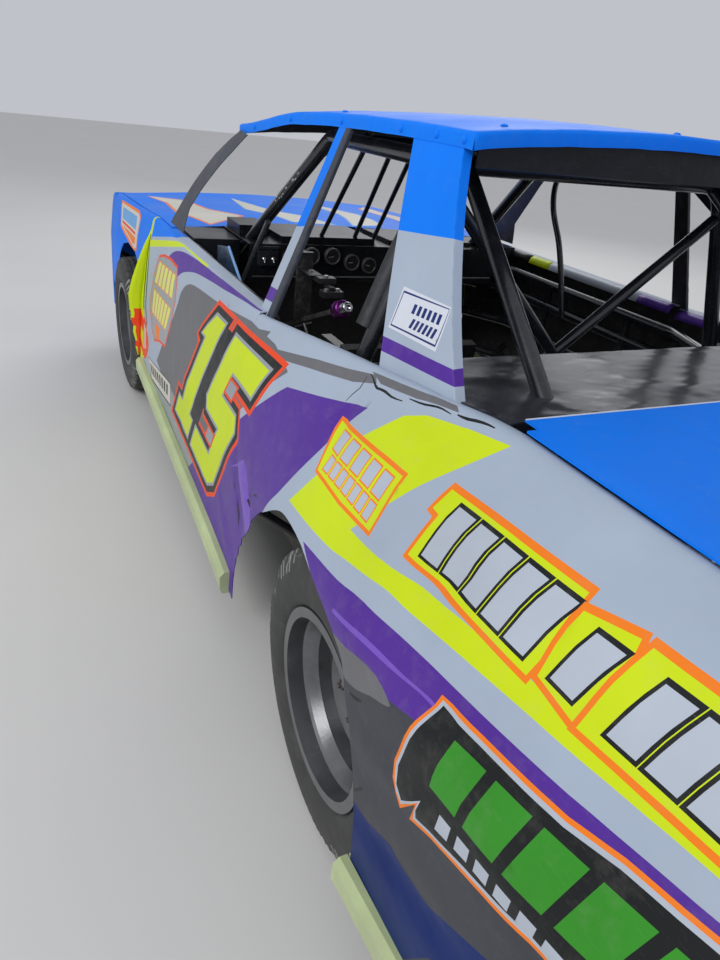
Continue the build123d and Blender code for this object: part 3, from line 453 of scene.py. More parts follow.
def raw_side(x, h, flange, drop):
    """Place on the folded sheet: h is the height, and goes on inwards past the shoulder."""
    outline = side_row(x)
    top_y, top_z = outline[0]
    if h > top_z:
        over = h - top_z
        return Vector((x, top_y - over, top_z - drop * over / flange))
    for (y0, z0), (y1, z1) in zip(outline, outline[1:]):
        if h >= z1:
            break
    return Vector((x, y0 + (z0 - h) / (z0 - z1) * (y1 - y0), h))


# Creases beaten into the left quarter and door: ends, half width, depth (metres)
CREASES = (
    (-0.14, 0.60, -0.42, 0.72, 0.016, 0.010),
    (-0.20, 0.48, -0.52, 0.60, 0.020, -0.008),
    (-0.25, 0.34, -0.60, 0.45, 0.020, 0.007),
    (-0.05, 0.66, -0.36, 0.90, 0.022, 0.006),
    (0.55, 0.40, 0.75, 0.62, 0.022, 0.008),
    (0.62, 0.24, 0.86, 0.40, 0.020, -0.007),
    (0.50, 0.50, 0.62, 0.60, 0.014, 0.010),
    (0.26, 0.95, 0.20, 0.80, 0.018, 0.007),
    (0.10, 0.97, -0.10, 0.93, 0.020, 0.008),
    (1.45, 0.34, 1.15, 0.60, 0.030, 0.004),
    (-0.85, 0.42, -0.62, 0.66, 0.028, 0.006),
    (2.20, 0.30, 2.05, 0.60, 0.026, 0.005),
)


def dented(point, sign):
    """How far a point of the side stands out or in, in metres; the right side is less beaten."""
    x, _, z = point
    seed, share = (3.7, 1.0) if sign > 0 else (19.3, 0.55)
    rear = max(0.0, min(1.0, (0.9 - x) / 0.6))
    depth = 0.0022 * wave(x * 2.2, z * 3.0, seed)
    depth += (0.0008 + 0.0024 * rear) * wave(x * 6.5, z * 8.0, seed + 5)
    depth += 0.0006 * wave(x * 22, z * 22, seed + 9)
    lobe = math.exp(-((x + 0.02) / 0.16) ** 2 - ((z - 0.93) / 0.06) ** 2)
    depth += share * lobe * (0.0034 * abs(wave(x * 17, z * 21, 2.0)) - 0.0010)
    for x0, z0, x1, z1, width, amount in CREASES:
        ax, az = x1 - x0, z1 - z0
        t = max(0.0, min(1.0, ((x - x0) * ax + (z - z0) * az) / (ax * ax + az * az)))
        away = math.hypot(x - x0 - ax * t, z - z0 - az * t)
        if away < 3 * width:
            depth -= share * amount * math.exp(-(away / width) ** 2) * (1 - abs(2 * t - 1) ** 3)
    return depth


def side_place(sign, flange, drop):
    """Function from x and height to the place on the rounded and dented side."""
    around = [(dx, dh) for dx in (-0.045, 0.0, 0.045) for dh in (-0.014, -0.007, 0.0, 0.007, 0.014)]

    def place(x, h):
        point = sum((raw_side(x + dx, h + dh, flange, drop) for dx, dh in around),
                    Vector((0, 0, 0))) / len(around)
        point.x = x
        out = dented(point, sign)
        if h > side_row(x)[0][1]:
            point.z += out * 0.6
        else:
            point.y += out
        return Vector((point.x + REAR_X, point.y * sign, point.z))
    return place


def between(a, b, share):
    return tuple(p + (q - p) * share for p, q in zip(a, b))


def number_layers(mirror):
    """Plain race number in slanted block figures, with its borders."""
    one = [(0.02, 0.8), (0.12, 1), (0.3, 1), (0.3, 0.19), (0.39, 0.19), (0.39, 0), (0, 0), (0, 0.19),
           (0.1, 0.19),
           (0.1, 0.8)]
    five = [(0.47, 1), (0.98, 1), (0.98, 0.8), (0.67, 0.8), (0.67, 0.63), (0.92, 0.63), (1, 0.55), (1, 0.08),
            (0.92, 0), (0.47, 0), (0.47, 0.2), (0.8, 0.2), (0.8, 0.43), (0.54, 0.43), (0.47, 0.5)]
    top_front, top_rear, low_rear, low_front = mm(1212, 835, 622, 835, 935, 335, 1505, 375)

    def put(points):
        out = []
        for u, v in points:
            x, z = between(between(low_front, low_rear, u), between(top_front, top_rear, u), v)
            out.append((NUMBER_SPAN - x if mirror else x, z))
        return out

    layers = [(grow(put(figure), amount), colour) for amount, colour in ((0.040, "red"), (0.026, "black"))
              for figure in (one, five)]
    layers.append((grow(put([(0.3, 0.2), (0.5, 0.2), (0.5, 0.98), (0.3, 0.98)]), 0.004), "black"))
    for figure in (one, five):
        layers += [(grow(put(figure), 0.006), "silver"), (grow(put(figure), -0.004), "yellow")]
    for u, v in ((0.735, 0.315), (0.735, 0.715)):
        w, t = 0.055, 0.045
        ring = put([(u - w, v - t), (u + w, v - t), (u + w, v + t), (u - w, v + t)])
        layers += [(grow(ring, 0.009), "red"), (ring, "silver")]
    return layers


def bars(corners, count, colour, border="black", slant=0.25, gap=0.25, edge=0.006):
    """Row of slanted blank bars inside a four-cornered place, in reading order."""
    a, b, c, d = corners
    layers = []
    for i in range(count):
        lo, hi = (i + gap / 2) / count, (i + 1 - gap / 2) / count
        shift = slant / count
        ring = [between(between(d, c, u), between(a, b, u), v)
                for u, v in ((lo, 0), (hi, 0), (hi + shift, 1), (lo + shift, 1))]
        if border:
            layers.append((grow(ring, edge), border))
        layers.append((ring, colour))
    return layers


def edged(ring, *steps):
    """A ring's borders, each with its reach and colour, from the widest to the ring itself."""
    return [(grow(ring, reach) if reach else ring, colour) for reach, colour in steps]


YELLOW_UP = curve_line(mm(13, 754, -89, 764, -312, 801, -497, 823, -737, 846, -1020, 876, -1310, 906))
YELLOW_LOW = curve_line(mm(260, 681, 156, 688, 37, 702, -81, 727, -350, 769, -636, 811, -752, 828,
                           -1020, 858, -1310, 888))
PURPLE_UP = curve_line(mm(130, 662, -4, 678, -124, 699, -304, 727, -436, 744, -593, 769, -774, 801,
                          -1020, 836, -1310, 868))
PURPLE_LOW = curve_line(mm(-50, 600, -135, 611, -259, 633, -368, 668, -524, 708, -632, 732, -781, 765,
                           -1020, 800, -1310, 828))


def crack(points, width):
    """Thin torn line along points, as a closed outline."""
    line = [Vector(p) for p in divide(points, 0.012, False)]
    up, low = [], []
    for i, p in enumerate(line):
        along = (line[min(i + 1, len(line) - 1)] - line[max(i - 1, 0)]).normalized()
        across = Vector((-along.y, along.x))
        half = width * (0.25 + 0.75 * math.sin(math.pi * (i + 0.5) / len(line)))
        p = p + across * 0.0012 * math.sin(i * 1.7 + p.x * 40)
        up.append(tuple(p + across * half))
        low.append(tuple(p - across * half))
    return up + low[::-1]


# Cracks and scrapes of the left quarter: run of points, half width
CRACKS = (
    (mm(264, 953, 215, 943, 160, 947, 126, 950), 0.0022),
    (mm(116, 957, 60, 966, 2, 974), 0.0018),
    (mm(-12, 977, -55, 985, -101, 991), 0.0026),
    (mm(270, 948, 264, 925, 270, 896), 0.0014),
    (mm(-175, 548, -196, 556, -215, 569), 0.0040),
    (mm(-246, 392, -258, 405, -272, 424), 0.0036),
    (mm(560, 560, 530, 548, 505, 556), 0.0050),
    (mm(640, 470, 610, 440, 600, 415), 0.0042),
    (mm(545, 525, 520, 515), 0.0050),
    (mm(480, 575, 455, 585), 0.0040),
    (mm(690, 500, 672, 488), 0.0036),
)


def side_layers(mirror):
    """Colours of the body side, lowest first, as outlines of x and z."""
    layers = [
        (mm(2280, 0, 3700, 0, 3700, 1200, 2280, 1200), "blue"),
        (mm(2335, 845, 1873, 928, 1820, 1100, 2335, 1100), "blue"),
        (curve_line(mm(2335, 831, 1858, 916, 1747, 928, 1631, 930, 1380, 934))
         + curve_line(mm(1380, 922, 1692, 922, 1806, 904, 2335, 802)), "yellow"),
        (curve_line(mm(1955, 800, 1925, 835, 1837, 881, 1673, 909, 1384, 925, 1264, 928, 827, 945))
         + curve_line(mm(827, 938, 1081, 914, 1283, 899, 1470, 882, 1585, 861, 1672, 835, 1740, 790)),
         "purple"),
        (curve_line(mm(1900, 430, 1744, 585, 1640, 720, 1600, 790, 1540, 828, 1427, 847, 1148, 866, 848, 897))
         + mm(672, 889, 549, 860, 826, 622, 1300, 330, 1620, 380), "dark"),
        (mm(1744, 421, 1513, 416, 1269, 358, 1046, 310, 934, 232, 900, 0, 2000, 0, 2100, 300), "silver"),
        (mm(515, 836, 192, 912, 240, 810, 327, 663, 393, 577, 486, 488, 400, 300, 500, 50, 800, 50, 979, 243,
            1259, 254, 950, 500), "purple"),
        (mm(620, 600, 520, 520, 460, 460, 500, 300, 600, 250, 660, 420, 740, 520), "violet"),
        (mm(660, 560, 540, 460, 500, 360, 600, 270, 700, 400, 780, 500), "purple"),
        (mm(260, 681, 143, 874, 91, 936, 50, 952, 13, 958, -60, 972, -159, 985, -96, 906, -27, 812)
         + YELLOW_UP + YELLOW_LOW[::-1], "yellow"),
        (PURPLE_UP + PURPLE_LOW[::-1], "purple"),
        (PURPLE_LOW + mm(-1310, 100, -200, 100, -100, 400), "low"),
        (curve_line(mm(-66, 648, -163, 668, -254, 682, -400, 700))
         + curve_line(mm(-400, 696, -254, 674, -163, 659, -66, 640)), "violet"),
        (curve_line(mm(-85, 608, -135, 618, -200, 632, -300, 640, -235, 600, -190, 572, -150, 560)), "dark"),
        (mm(-250, 368, -300, 375, -372, 412, -413, 409, -482, 425, -523, 455, -660, 540, -600, 430,
            -520, 360, -470, 270, -490, 180, -250, 180), "deep_blue"),
        (mm(819, 888, 719, 907, 740, 876, 819, 864), "dark"),
        (mm(700, 873, 452, 922, 334, 941, 248, 958, 227, 947, 296, 927, 469, 897, 690, 855), "dark"),
        # Painted shadow: dark grey strip standing in for the shade along the crumple under the sail's foot
        (mm(268, 959, 140, 973, 8, 989, -11, 981, 100, 964, 216, 951), "dark"),
        (mm(2335, 1000, 2335, 250, 2250, 270, 2215, 420, 2240, 550, 2275, 720, 2300, 900), "yellow"),
        (mm(2322, 860, 2306, 858, 2292, 740, 2268, 640, 2240, 550, 2258, 545, 2292, 640, 2312, 750), "black"),
        (mm(2299, 830, 2286, 820, 2242, 700, 2190, 560, 2160, 500, 2174, 495, 2212, 570, 2258, 690), "black"),
        (mm(2335, 520, 2255, 500, 2150, 470, 2120, 400, 2200, 330, 2335, 360), "red"),
        (mm(2335, 455, 2245, 440, 2190, 390, 2250, 370, 2335, 410), "yellow"),
    ]
    if not mirror:
        layers += [(crack(points, width), "black") for points, width in CRACKS]
    fender_badge = mm(3235, 858, 2700, 885, 2640, 872, 2610, 744, 2660, 730, 3150, 762)
    layers += [(grow(fender_badge, 0.014), "orange"), (fender_badge, "cream"),
               (mm(3170, 845, 2720, 868, 2685, 810, 3130, 795), "pale_blue"),
               (mm(3130, 786, 2690, 800, 2680, 788, 3120, 775), "red"),
               (mm(3110, 768, 2670, 778, 2660, 750, 2720, 742), "orange")]
    door_badge = mm(2060, 812, 1980, 832, 1860, 842, 1740, 838, 1700, 800, 1675, 741, 1700, 640, 1745, 545,
                    1860, 530, 1970, 500, 2050, 530, 2125, 620, 2110, 720)
    layers += edged(door_badge, (0.010, "red"), (0, "silver"))
    layers += bars(mm(2060, 800, 1740, 815, 1720, 730, 2090, 710), 5, "pale_yellow", "orange", 0.2, 0.3,
                   0.004)
    layers += bars(mm(2090, 680, 1730, 690, 1760, 600, 2060, 590), 6, "pale_yellow", "orange", 0.2, 0.3,
                   0.004)
    layers += [(mm(1970, 570, 1860, 575, 1870, 520, 1950, 515), "orange")]
    layers += number_layers(mirror)
    layers += [(mm(2250, 520, 2170, 500, 2160, 365, 2260, 330), "red")]
    layers += bars(mm(2245, 490, 2185, 475, 2180, 390, 2250, 370), 2, "cream", "orange", 0.1, 0.35, 0.003)
    low_badge = mm(2100, 375, 1615, 433, 1598, 354, 2000, 316)
    layers += edged(low_badge, (0.006, "black"), (0, "cream"))
    layers += bars(mm(2070, 365, 1660, 412, 1650, 370, 2010, 335), 8, "black", None, 0.2, 0.4)
    badge = mm(236, 868, 110, 872, -32, 879, -37, 779, 90, 770, 216, 772)
    layers += edged(badge, (0.007, "orange"), (0, "yellow"))
    layers += bars(mm(215, 862, -15, 868, -20, 826, 215, 822), 5, "white", "orange", 0.15, 0.3, 0.003)
    layers += bars(mm(205, 812, -15, 816, -20, 786, 205, 782), 7, "white", "orange", 0.15, 0.3, 0.003)
    rows = (
        (mm(-142, 909, -141, 879, -162, 878, -155, 806, -459, 819, -464, 858, -448, 924),
         mm(-165, 900, -445, 912, -445, 832, -175, 820), 5),
        (mm(-462, 910, -540, 925, -555, 902, -545, 824, -472, 829),
         mm(-478, 903, -537, 908, -535, 840, -482, 838), 1),
        (mm(-557, 926, -800, 938, -1050, 950, -1120, 930, -1100, 872, -980, 862, -740, 842, -553, 823),
         mm(-580, 912, -1060, 938, -1060, 880, -580, 842), 9),
    )
    for ring, place_for, count in rows:
        layers += edged(ring, (0.008, "orange"), (0, "yellow"))
        layers += bars(place_for, count, "white", "black", 0.2, 0.22, 0.005)
    sign = mm(-378, 705, -351, 569, -379, 526, -424, 580, -419, 536, -454, 554, -805, 680, -1160, 770,
              -1180, 820, -1050, 830, -834, 790, -683, 762, -611, 742, -527, 728)
    layers += [(grow(sign, 0.012), "orange"), (grow(sign, 0.006), "white"), (sign, "black")]
    layers += bars(mm(-400, 690, -980, 795, -980, 735, -420, 612), 7, "green", None, 0.25, 0.22)
    layers += bars(mm(-450, 598, -1020, 728, -1020, 714, -460, 575), 14, "white", None, 0.2, 0.35)
    return layers


REAR_ARCH = curve_line(mm(594, 20, 600, 164, 607, 248, 590, 320, 562, 376, 520, 445, 486, 488, 440, 540,
                          369, 591, 300, 636, 242, 654, 132, 653, 40, 633, -65, 612, -129, 583, -165, 523,
                          -204, 467, -242, 386, -268, 291, -272, 150, -272, 20), 3)
FRONT_ARCH = [(WHEELBASE + x, z) for x, z in mm(-418, 0, -418, 470, -345, 610, -235, 692, -110, 722,
                                                110, 722, 245, 692, 355, 600, 418, 470, 418, 0)]


def torn(x, z):
    """Point of the rear opening's edge, ragged where the door's skin is torn."""
    ragged = 0.4 < x < 0.6 and z > 0.3
    reach = 0.007 if ragged else 0.0015
    return x + random.uniform(-reach, reach), z + (random.uniform(-0.006, 0.006) if ragged else 0)


random.seed(11)
TORN_ARCH = [torn(x, z) for x, z in REAR_ARCH]


def body_sides():
    spans = {"fender": (2.3262, 3.499, [FRONT_ARCH]), "door": (0.8206, 2.3242, []),
             "quarter": (-1.290, 0.8200, [TORN_ARCH])}
    for sign, hand in SIDES:
        layers = side_layers(sign < 0)
        for kind, (low, high, holes) in spans.items():
            flange, drop = FLANGE[kind]
            stations = [low] + [r[0] for r in SIDE if low < r[0] < high] + [high]
            outline = [(x, side_row(x)[3][1]) for x in stations]
            outline += [(x, side_row(x)[0][1] + flange) for x in reversed(stations)]
            extra = []
            x = low + 0.01
            while x < high - 0.005:
                extra += [(x, side_row(x)[0][1] + d) for d in (-0.012, -0.005, 0.002, 0.009)]
                x += 0.02
            if kind == "quarter":
                wrinkled = [(-0.20 + 0.010 * i, 0.86 + 0.010 * j) for i in range(38) for j in range(12)]
                extra += [(x, z) for x, z in wrinkled if z < side_row(x)[0][1] - 0.016]
            made = sheet(f"{kind}_skin_{hand}", outline, side_place(sign, flange, drop), layers, "grey",
                         0.022,
                         (0, sign, 0), "blue_paint" if kind == "fender" else "painted_body", thick=0.0025,
                         holes=holes, extra=extra)
            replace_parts(made, f"{kind}_{hand}")


# Roof, sails and posts

def roof_row(x):
    """Half width of the roof and height of its crease at x, along a smooth line."""
    x = min(max(x, ROOF[0][0]), ROOF[-1][0])
    for place, (low, high) in enumerate(zip(ROOF, ROOF[1:])):
        if x <= high[0]:
            break
    s = (x - low[0]) / (high[0] - low[0])
    before, after = ROOF[max(place - 1, 0)], ROOF[min(place + 2, len(ROOF) - 1)]
    half, crease = (b + 0.5 * s * (c - a + s * (2 * a - 5 * b + 4 * c - d + s * (3 * (b - c) + d - a)))
                    for a, b, c, d in zip(before[1:], low[1:], high[1:], after[1:]))
    return half, min(crease, ROOF[1][2])


def raw_roof(x, v):
    half, crease = roof_row(x)
    y = max(-half, min(half, v))
    z = crease + ROOF_CROWN * (1 - (y / half) ** 2) - max(0.0, abs(v) - half)
    z -= max(0.0, ROOF[0][0] - x) + max(0.0, x - ROOF[-1][0])
    return Vector((min(max(x, ROOF[0][0]), ROOF[-1][0]), y, z))


def roof_place(x, v):
    """Place on the rounded roof: past the sides and the ends it turns down."""
    point = sum((raw_roof(x + dx, v + dv) for dx in (-0.007, 0, 0.007) for dv in (-0.006, -0.002, 0.002,
                                                                                  0.006)),
                Vector((0, 0, 0))) / 12
    lip = abs(v) > roof_row(x)[0] or not ROOF[0][0] < x < ROOF[-1][0]
    wobble = 0.0028 * wave(x * 3, v * 3, 1.0) + 0.0012 * wave(x * 9, v * 9, 4.0)
    point.z += wobble - abs(0.002 * wave(x * 12, v * 12, 8)) * lip
    return Vector((point.x + REAR_X, point.y, min(point.z - 0.002, ROOF_PEAK)))


def roof_sheet():
    lip = 0.030
    low, high = ROOF[0][0], ROOF[-1][0]
    stations = [low + 0.001] + [low + (high - low) * i / 24 for i in range(1, 24)] + [high - 0.001]
    half_low, half_high = roof_row(low)[0], roof_row(high)[0]
    outline = [(low - lip, 0.001 - half_low), (low - lip, half_low - 0.001), (low + 0.001, half_low + 0.001)]
    outline += [(x, roof_row(x)[0] + lip) for x in stations] + [(high - 0.002, half_high + 0.002)]
    outline += [(high + lip, half_high - 0.012), (high + lip, 0.012 - half_high),
                (high - 0.002, -half_high - 0.002)]
    outline += [(x, -roof_row(x)[0] - lip) for x in reversed(stations)] + [(low + 0.001, -half_low - 0.001)]
    extra = []
    for i in range(70):
        x = low + (high - low) * (i + 0.5) / 70
        extra += [(x, s * (roof_row(x)[0] + d)) for s in (1, -1) for d in (-0.008, -0.003, 0.003, 0.008)]
    for i in range(56):
        y = -half_low + 2 * half_low * (i + 0.5) / 56
        extra += [(low + d, y) for d in (-0.008, -0.002, 0.004)]
        extra += [(high + d, y * half_high / half_low) for d in (-0.004, 0.002, 0.008)]
    made = sheet("roof_skin", outline, roof_place, (), "blue", 0.03, slot="blue_paint", extra=extra)
    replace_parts(made, "roof")


def patch_place(corners, sign, bow=0.0, fold=0.0, swell=0.0):
    """Leaning strip: u runs rearwards, v up; past u = 1 it folds inwards by fold."""
    (front_low, front_top), (rear_low, rear_top) = [[Vector(p) for p in pair] for pair in corners]

    def place(u, v):
        arch = 4 * v * (1 - v)
        point = front_low.lerp(front_top, v).lerp(rear_low.lerp(rear_top, v), min(u, 1.0))
        point.x += bow * arch * max(0.0, min(u, 1.0)) ** 2
        point.y += swell * arch - max(0.0, u - 1.0) * fold / 0.1
        point.y += 0.0012 * wave(point.x * 6, point.z * 6, 2.0)
        return Vector((point.x + REAR_X, point.y * sign, point.z))
    return place


def strip_corners(top, bottom):
    """Low and top corners of a pillar's front and rear edges, from the x of its rear and front ends."""
    pairs = []
    for x_top, x_low in zip(top, bottom):
        half, crease = roof_row(x_top)
        y, z = side_row(x_low)[0]
        pairs.append(((x_low, y - 0.019, z - 0.012), (x_top, half - 0.0055, crease - 0.020)))
    return pairs[::-1]


def pillar_place(sign):
    """Front pillar's sheet: leans in from the belt to the roof and swells outwards between them."""
    def place(x, z):
        v = (z - 0.93) / 0.40
        return Vector((x + REAR_X, sign * (1.111 - 0.3645 * z + 0.020 * 4 * v * (1 - v)), z))
    return place


def sails_and_posts():
    sticker_and_highlight = [(0.235, 0.345), (0.975, 0.333), (0.76, 0.168), (0.085, 0.186)]
    sail_layers = [([(-0.2, 0.575), (0.99, 0.606), (1.3, 0.585), (1.3, 1.2), (-0.2, 1.2)], "blue"),
                   ([(-0.2, 0.135), (1, 0.112), (1.3, 0.122), (1.3, 0.052), (1, 0.05), (-0.2, 0.072)],
                    "purple")]
    sail_layers += edged(sticker_and_highlight, (0.016, "sticker_and_highlight"), (0, "navy"), (-0.009, "sticker_and_highlight"))
    sail_layers += bars([(0.4, 0.306), (0.87, 0.3), (0.82, 0.256), (0.36, 0.264)], 6, "navy", None, 0.1, 0.4)
    sail_layers += bars([(0.4, 0.246), (0.8, 0.238), (0.73, 0.194), (0.34, 0.204)], 6, "navy", None, 0.1, 0.4)
    post_layers = [([(-0.2, 0.465), (1.3, 0.5), (1.3, 1.2), (-0.2, 1.2)], "blue"),
                   ([(-0.2, 0.145), (1.3, 0.145), (1.3, 0.075), (-0.2, 0.075)], "purple"),
                   # Painted shade: charcoal over the post's rear part, past u = 0.62, stands in for its
                   # turned-back face in shadow
                   ([(0.62, -0.2), (1.3, -0.2), (1.3, 1.2), (0.62, 1.2)], "pillar")]
    bow = mm(1600, 1328, 1668, 1292, 1752, 1240, 1890, 1125, 2000, 1025, 2100, 946,
             1862, 944, 1845, 1036, 1770, 1106, 1640, 1215, 1575, 1262, 1505, 1320)
    sails, posts = [], []
    for sign, hand in SIDES:
        out = (0, sign, 0)
        place = patch_place(strip_corners((0.305, 0.495), (0.042, 0.290)), sign, 0.022, 0.022, 0.004)
        outline = [(0, -0.03), (0.97, -0.06), (1.0, -0.035), (1.1, -0.02), (1.1, 1.0), (0, 1.0)]
        extra = [(u, (i + 0.5) / 40) for i in range(40) for u in (0.95, 0.985, 1.0, 1.02, 1.05)]
        sails.append(sheet(f"sail_skin_{hand}", outline, place, sail_layers, "grey", 0.045, out, extra=extra,
                           edge_step=0.04))
        place = patch_place(strip_corners((0.794, 0.855), (0.786, 0.866)), sign, 0, 0.012)
        posts.append(sheet(f"window_post_skin_{hand}", [(0, -0.02), (1.1, -0.02), (1.1, 1), (0, 1)], place,
                           post_layers, "grey", 0.06, out, edge_step=0.05))
        posts.append(sheet(f"front_pillar_skin_{hand}", bow, pillar_place(sign), (), "pillar", 0.03, out))
    for made in sails:
        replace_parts(made, "sail_panels")
    for made in posts:
        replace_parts(made, "pillars")


def rivets():
    """Domed rivet heads along the roof's edges and across it."""
    dome = [(0.0085, 0.0), (0.0075, 0.0026), (0.0045, 0.0042), (0.0002, 0.0048)]
    parts = []
    for x in (0.300, 0.400, 0.545, 0.845, 1.180, 1.480):
        for s in (1, -1):
            parts.append(turned(dome, roof_place(x, s * (roof_row(x)[0] + 0.016)), (0, s, 0), 12))
    for x, y in ((0.330, 0.46), (0.330, 0.0), (0.330, -0.46), (0.90, 0.555), (0.90, -0.555)):
        parts.append(turned(dome, roof_place(x, y), (0, 0, 1), 12))
    group("roof_rivets", parts, "blue", "blue_paint", True)


# Hood, deck, tray

def hood_height(x, y):
    rows = ((0.0, 0.028), (0.400, 0.020), (0.728, 0.0), (0.772, 0.0))
    a = abs(y)
    for (y0, r0), (y1, r1) in zip(rows, rows[1:]):
        if a <= y1:
            break
    return side_row(x)[0][1] + 0.004 + r0 + (a - y0) / (y1 - y0) * (r1 - r0)


def hood_place(x, y):
    z = sum(hood_height(x + dx, y + dy) for dx in (-0.03, 0, 0.03) for dy in (-0.03, -0.015, 0, 0.015,
                                                                              0.03)) / 15
    return Vector((x + REAR_X, y, z + 0.0018 * wave(x * 3, y * 3, 12)))


def hood_sheet():
    flame = mm(2120, 600, 2450, 660, 2950, 620, 3300, 660, 3050, 520, 2600, 500, 2300, 420)
    wing = mm(2100, 50, 2160, 220, 2620, 300, 3200, 220, 2550, 170)
    layers = []
    for ring, reach, border in ((flame, 0.014, "orange"), (wing, 0.010, "pale_blue")):
        for s in (1, -1):
            layers += edged([(x, s * y) for x, y in ring], (reach, border), (0, "cream"))
    outline = mm(2061, -772, 3498, -772, 3498, 772, 2061, 772)
    made = sheet("hood_skin", outline, hood_place, layers, "blue", 0.035, slot="blue_paint")
    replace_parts(made, "hood")


def deck_sheet():
    """Skin just over the deck lid, with a painted highlight: a pale strip along its front edge where the
    folded edge catches the light.
    """
    half = 0.648

    def place(x, y):
        fall = max(0.0, abs(y) - half + 0.004) * 0.5
        return Vector((x + REAR_X, y, DECK_Z - fall + 0.0008 * wave(x * 3, y * 3, 5)))
    outline = mm(-1284, -648, -150, -648, -150, -622, -109, -622, -109, 622, -150, 622, -150, 648, -1284, 648)
    # Painted highlight: pale strip along the lid's folded front edge
    strip = mm(-114, -700, -9, -700, -9, 700, -114, 700)
    sheet("deck_skin", outline, place, [(strip, "sticker_and_highlight")], "blue", 0.035, slot="blue_paint",
          body="deck_lid")


def tray_sheet():
    def place(x, y):
        p = Vector((x * 9, y * 6, 3.0))
        buckled = math.exp(-((x + 0.05) / 0.10) ** 2) * (0.35 + 0.65 * max(0.0, y / 0.6))
        crumple = 0.0030 * noise.noise(p) + 0.0020 * abs(noise.noise(p * 2.3))
        crumple += 0.0050 * buckled * abs(wave(x * 26, y * 16, 7))
        return Vector((x + REAR_X, y, side_row(x)[0][1] - 0.0132 + max(0.0, crumple)))
    edge = [(x, side_row(x)[0][0] - 0.031) for x in (-0.088, 0.0, 0.14, 0.28, 0.327)]
    outline = [(x, -y) for x, y in edge] + edge[::-1]
    sheet("tray_skin", outline, place, (), "gloss_tin", 0.014, slot="black_tin", back="tin")


# Wheels, tyres and springs

def tyre_mesh(centre, sign, seed):
    """Tyre turned about Y, with worn tread blocks and a scuffed outer shoulder."""
    half = [(0.1905, 0.101), (0.209, 0.103), (0.2125, 0.1095), (0.222, 0.115), (0.240, 0.1185),
            (0.262, 0.1200),
            (0.284, 0.1178), (0.300, 0.1140), (0.312, 0.1105), (0.3190, 0.1085), (0.3205, 0.1050),
            (SHOULDER_R, 0.1035)]
    a = 0.0985
    while a > 0:
        half.append((0.3350 - 0.0065 * (a / 0.10) ** 2, a))
        a -= 0.0047
    profile = half + [(r, -a) for r, a in reversed(half)]
    grooves = (0.074, 0.045, 0.0165, -0.0165, -0.045, -0.074)
    segments = 264
    cx, cy, cz = centre
    rows = []
    for i in range(segments):
        angle = 2 * math.pi * i / segments
        c, s = math.cos(angle), math.sin(angle)
        row = []
        for r, a in profile:
            if r > SHOULDER_R:
                if any(abs(a - g) < 0.0030 for g in grooves):
                    r -= 0.0065
                elif (i + (0 if abs(a) > 0.06 else 2 if abs(a) > 0.03 else 4) + (2 if a < 0 else 0)) % 6 == 0:
                    r -= 0.0050 if abs(a) > 0.02 else 0.0020
                r -= 0.0008 * abs(wave(c * 9, a * 60, s * 9 + seed))
            elif 0.30 < r:
                chunk = wave(c * 22, a * 40, s * 22 + seed)
                if chunk > 0.05:
                    a -= math.copysign(min(0.004, 0.012 * (chunk - 0.05)), a)
                if i % 3 == 0:
                    a -= math.copysign(0.0012, a)
            elif 0.255 < r < 0.262:
                a += math.copysign(0.0008, a)
            row.append((cx + r * c, cy + sign * a, cz + r * s))
        rows.append(row)
    which = []
    for i, row in enumerate(rows):
        turn = 360 * i / segments
        streak = any(abs(turn - at) < 19 for at in (36, 142, 222, 312)) and (i * 7919) % 7 < 2
        for (r, a), (x, _, z) in zip(profile[:-1], row):
            scraped = streak and a > 0 and (0.280 if i % 3 else 0.298) < r <= SHOULDER_R
            worn = 0.305 < r <= SHOULDER_R and wave(x * 30, a * 30, z * 30) > -0.1
            which.append(2 if scraped else 1 if worn else 0)
    return *lattice(rows, True, (0, 1, 2, 3) if sign < 0 else (3, 2, 1, 0)), which


def wheels():
    nut = [(0.0, 0.0), (0.0125, 0.0), (0.0125, 0.014), (0.0105, 0.018), (0.006, 0.018), (0.006, 0.024),
           (0.0, 0.025)]
    cap = [(0.026, -0.02), (0.026, 0.004), (0.024, 0.008), (0.018, 0.010), (0.0, 0.010)]
    for axle, seed in (("front", WHEELBASE), ("rear", 0.0)):
        for sign, hand in SIDES:
            corner = f"{axle}_{hand}"
            x, y, z = centre = [(a + b) / 2 for a, b in zip(*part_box(f"tyre_{corner}"))]
            verts, faces, which = tyre_mesh(centre, sign, seed + sign)
            made = piece(f"tyre_skin_{corner}", verts, faces, ("rubber", "scuffed", "chalk"), "rubber_tyre",
                         which=which, body=f"wheel_{corner}")
            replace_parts(made, f"tyre_{corner}")
            bolt = abs(y) + 0.015
            parts = []
            for i in range(5):
                a = math.radians(72 * i + 18)
                at = (x + 0.0635 * math.cos(a), sign * (bolt - 0.001), z - 0.0635 * math.sin(a))
                parts.append(turned(nut, at, (0, sign, 0), 6))
            parts.append(turned(cap, (x, sign * (bolt + 0.014), z), (0, sign, 0), 32))
            group(f"wheel_nuts_{corner}", parts, "hub", "bare_steel", body=f"wheel_{corner}")


def springs():
    """Coils between their seats: x, y, the seats' heights, gap to a seat, radius, turns, wire."""
    rows = {"rear": (0.0, 0.380, AXLE_Z + 0.052, 0.545, 0.009, 0.048, 4, 0.008),
            "front": (WHEELBASE, 0.500, 0.242, 0.492, 0.010, 0.041, 6, 0.0085)}
    for sign, hand in SIDES:
        for end, (x, y, low, top, gap, radius, turns, wire) in rows.items():
            points = []
            for i in range(turns * 14 + 1):
                t = i / (turns * 14)
                a = 2 * math.pi * turns * t
                climb = (top - low - 2 * gap) * (t + 0.02 * math.sin(2 * math.pi * t))
                points.append((x + radius * math.cos(a), sign * y + radius * math.sin(a), low + gap + climb))
            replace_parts(tube(f"spring_{end}_{hand}", points, wire, "steel"), "springs")


# Cabin

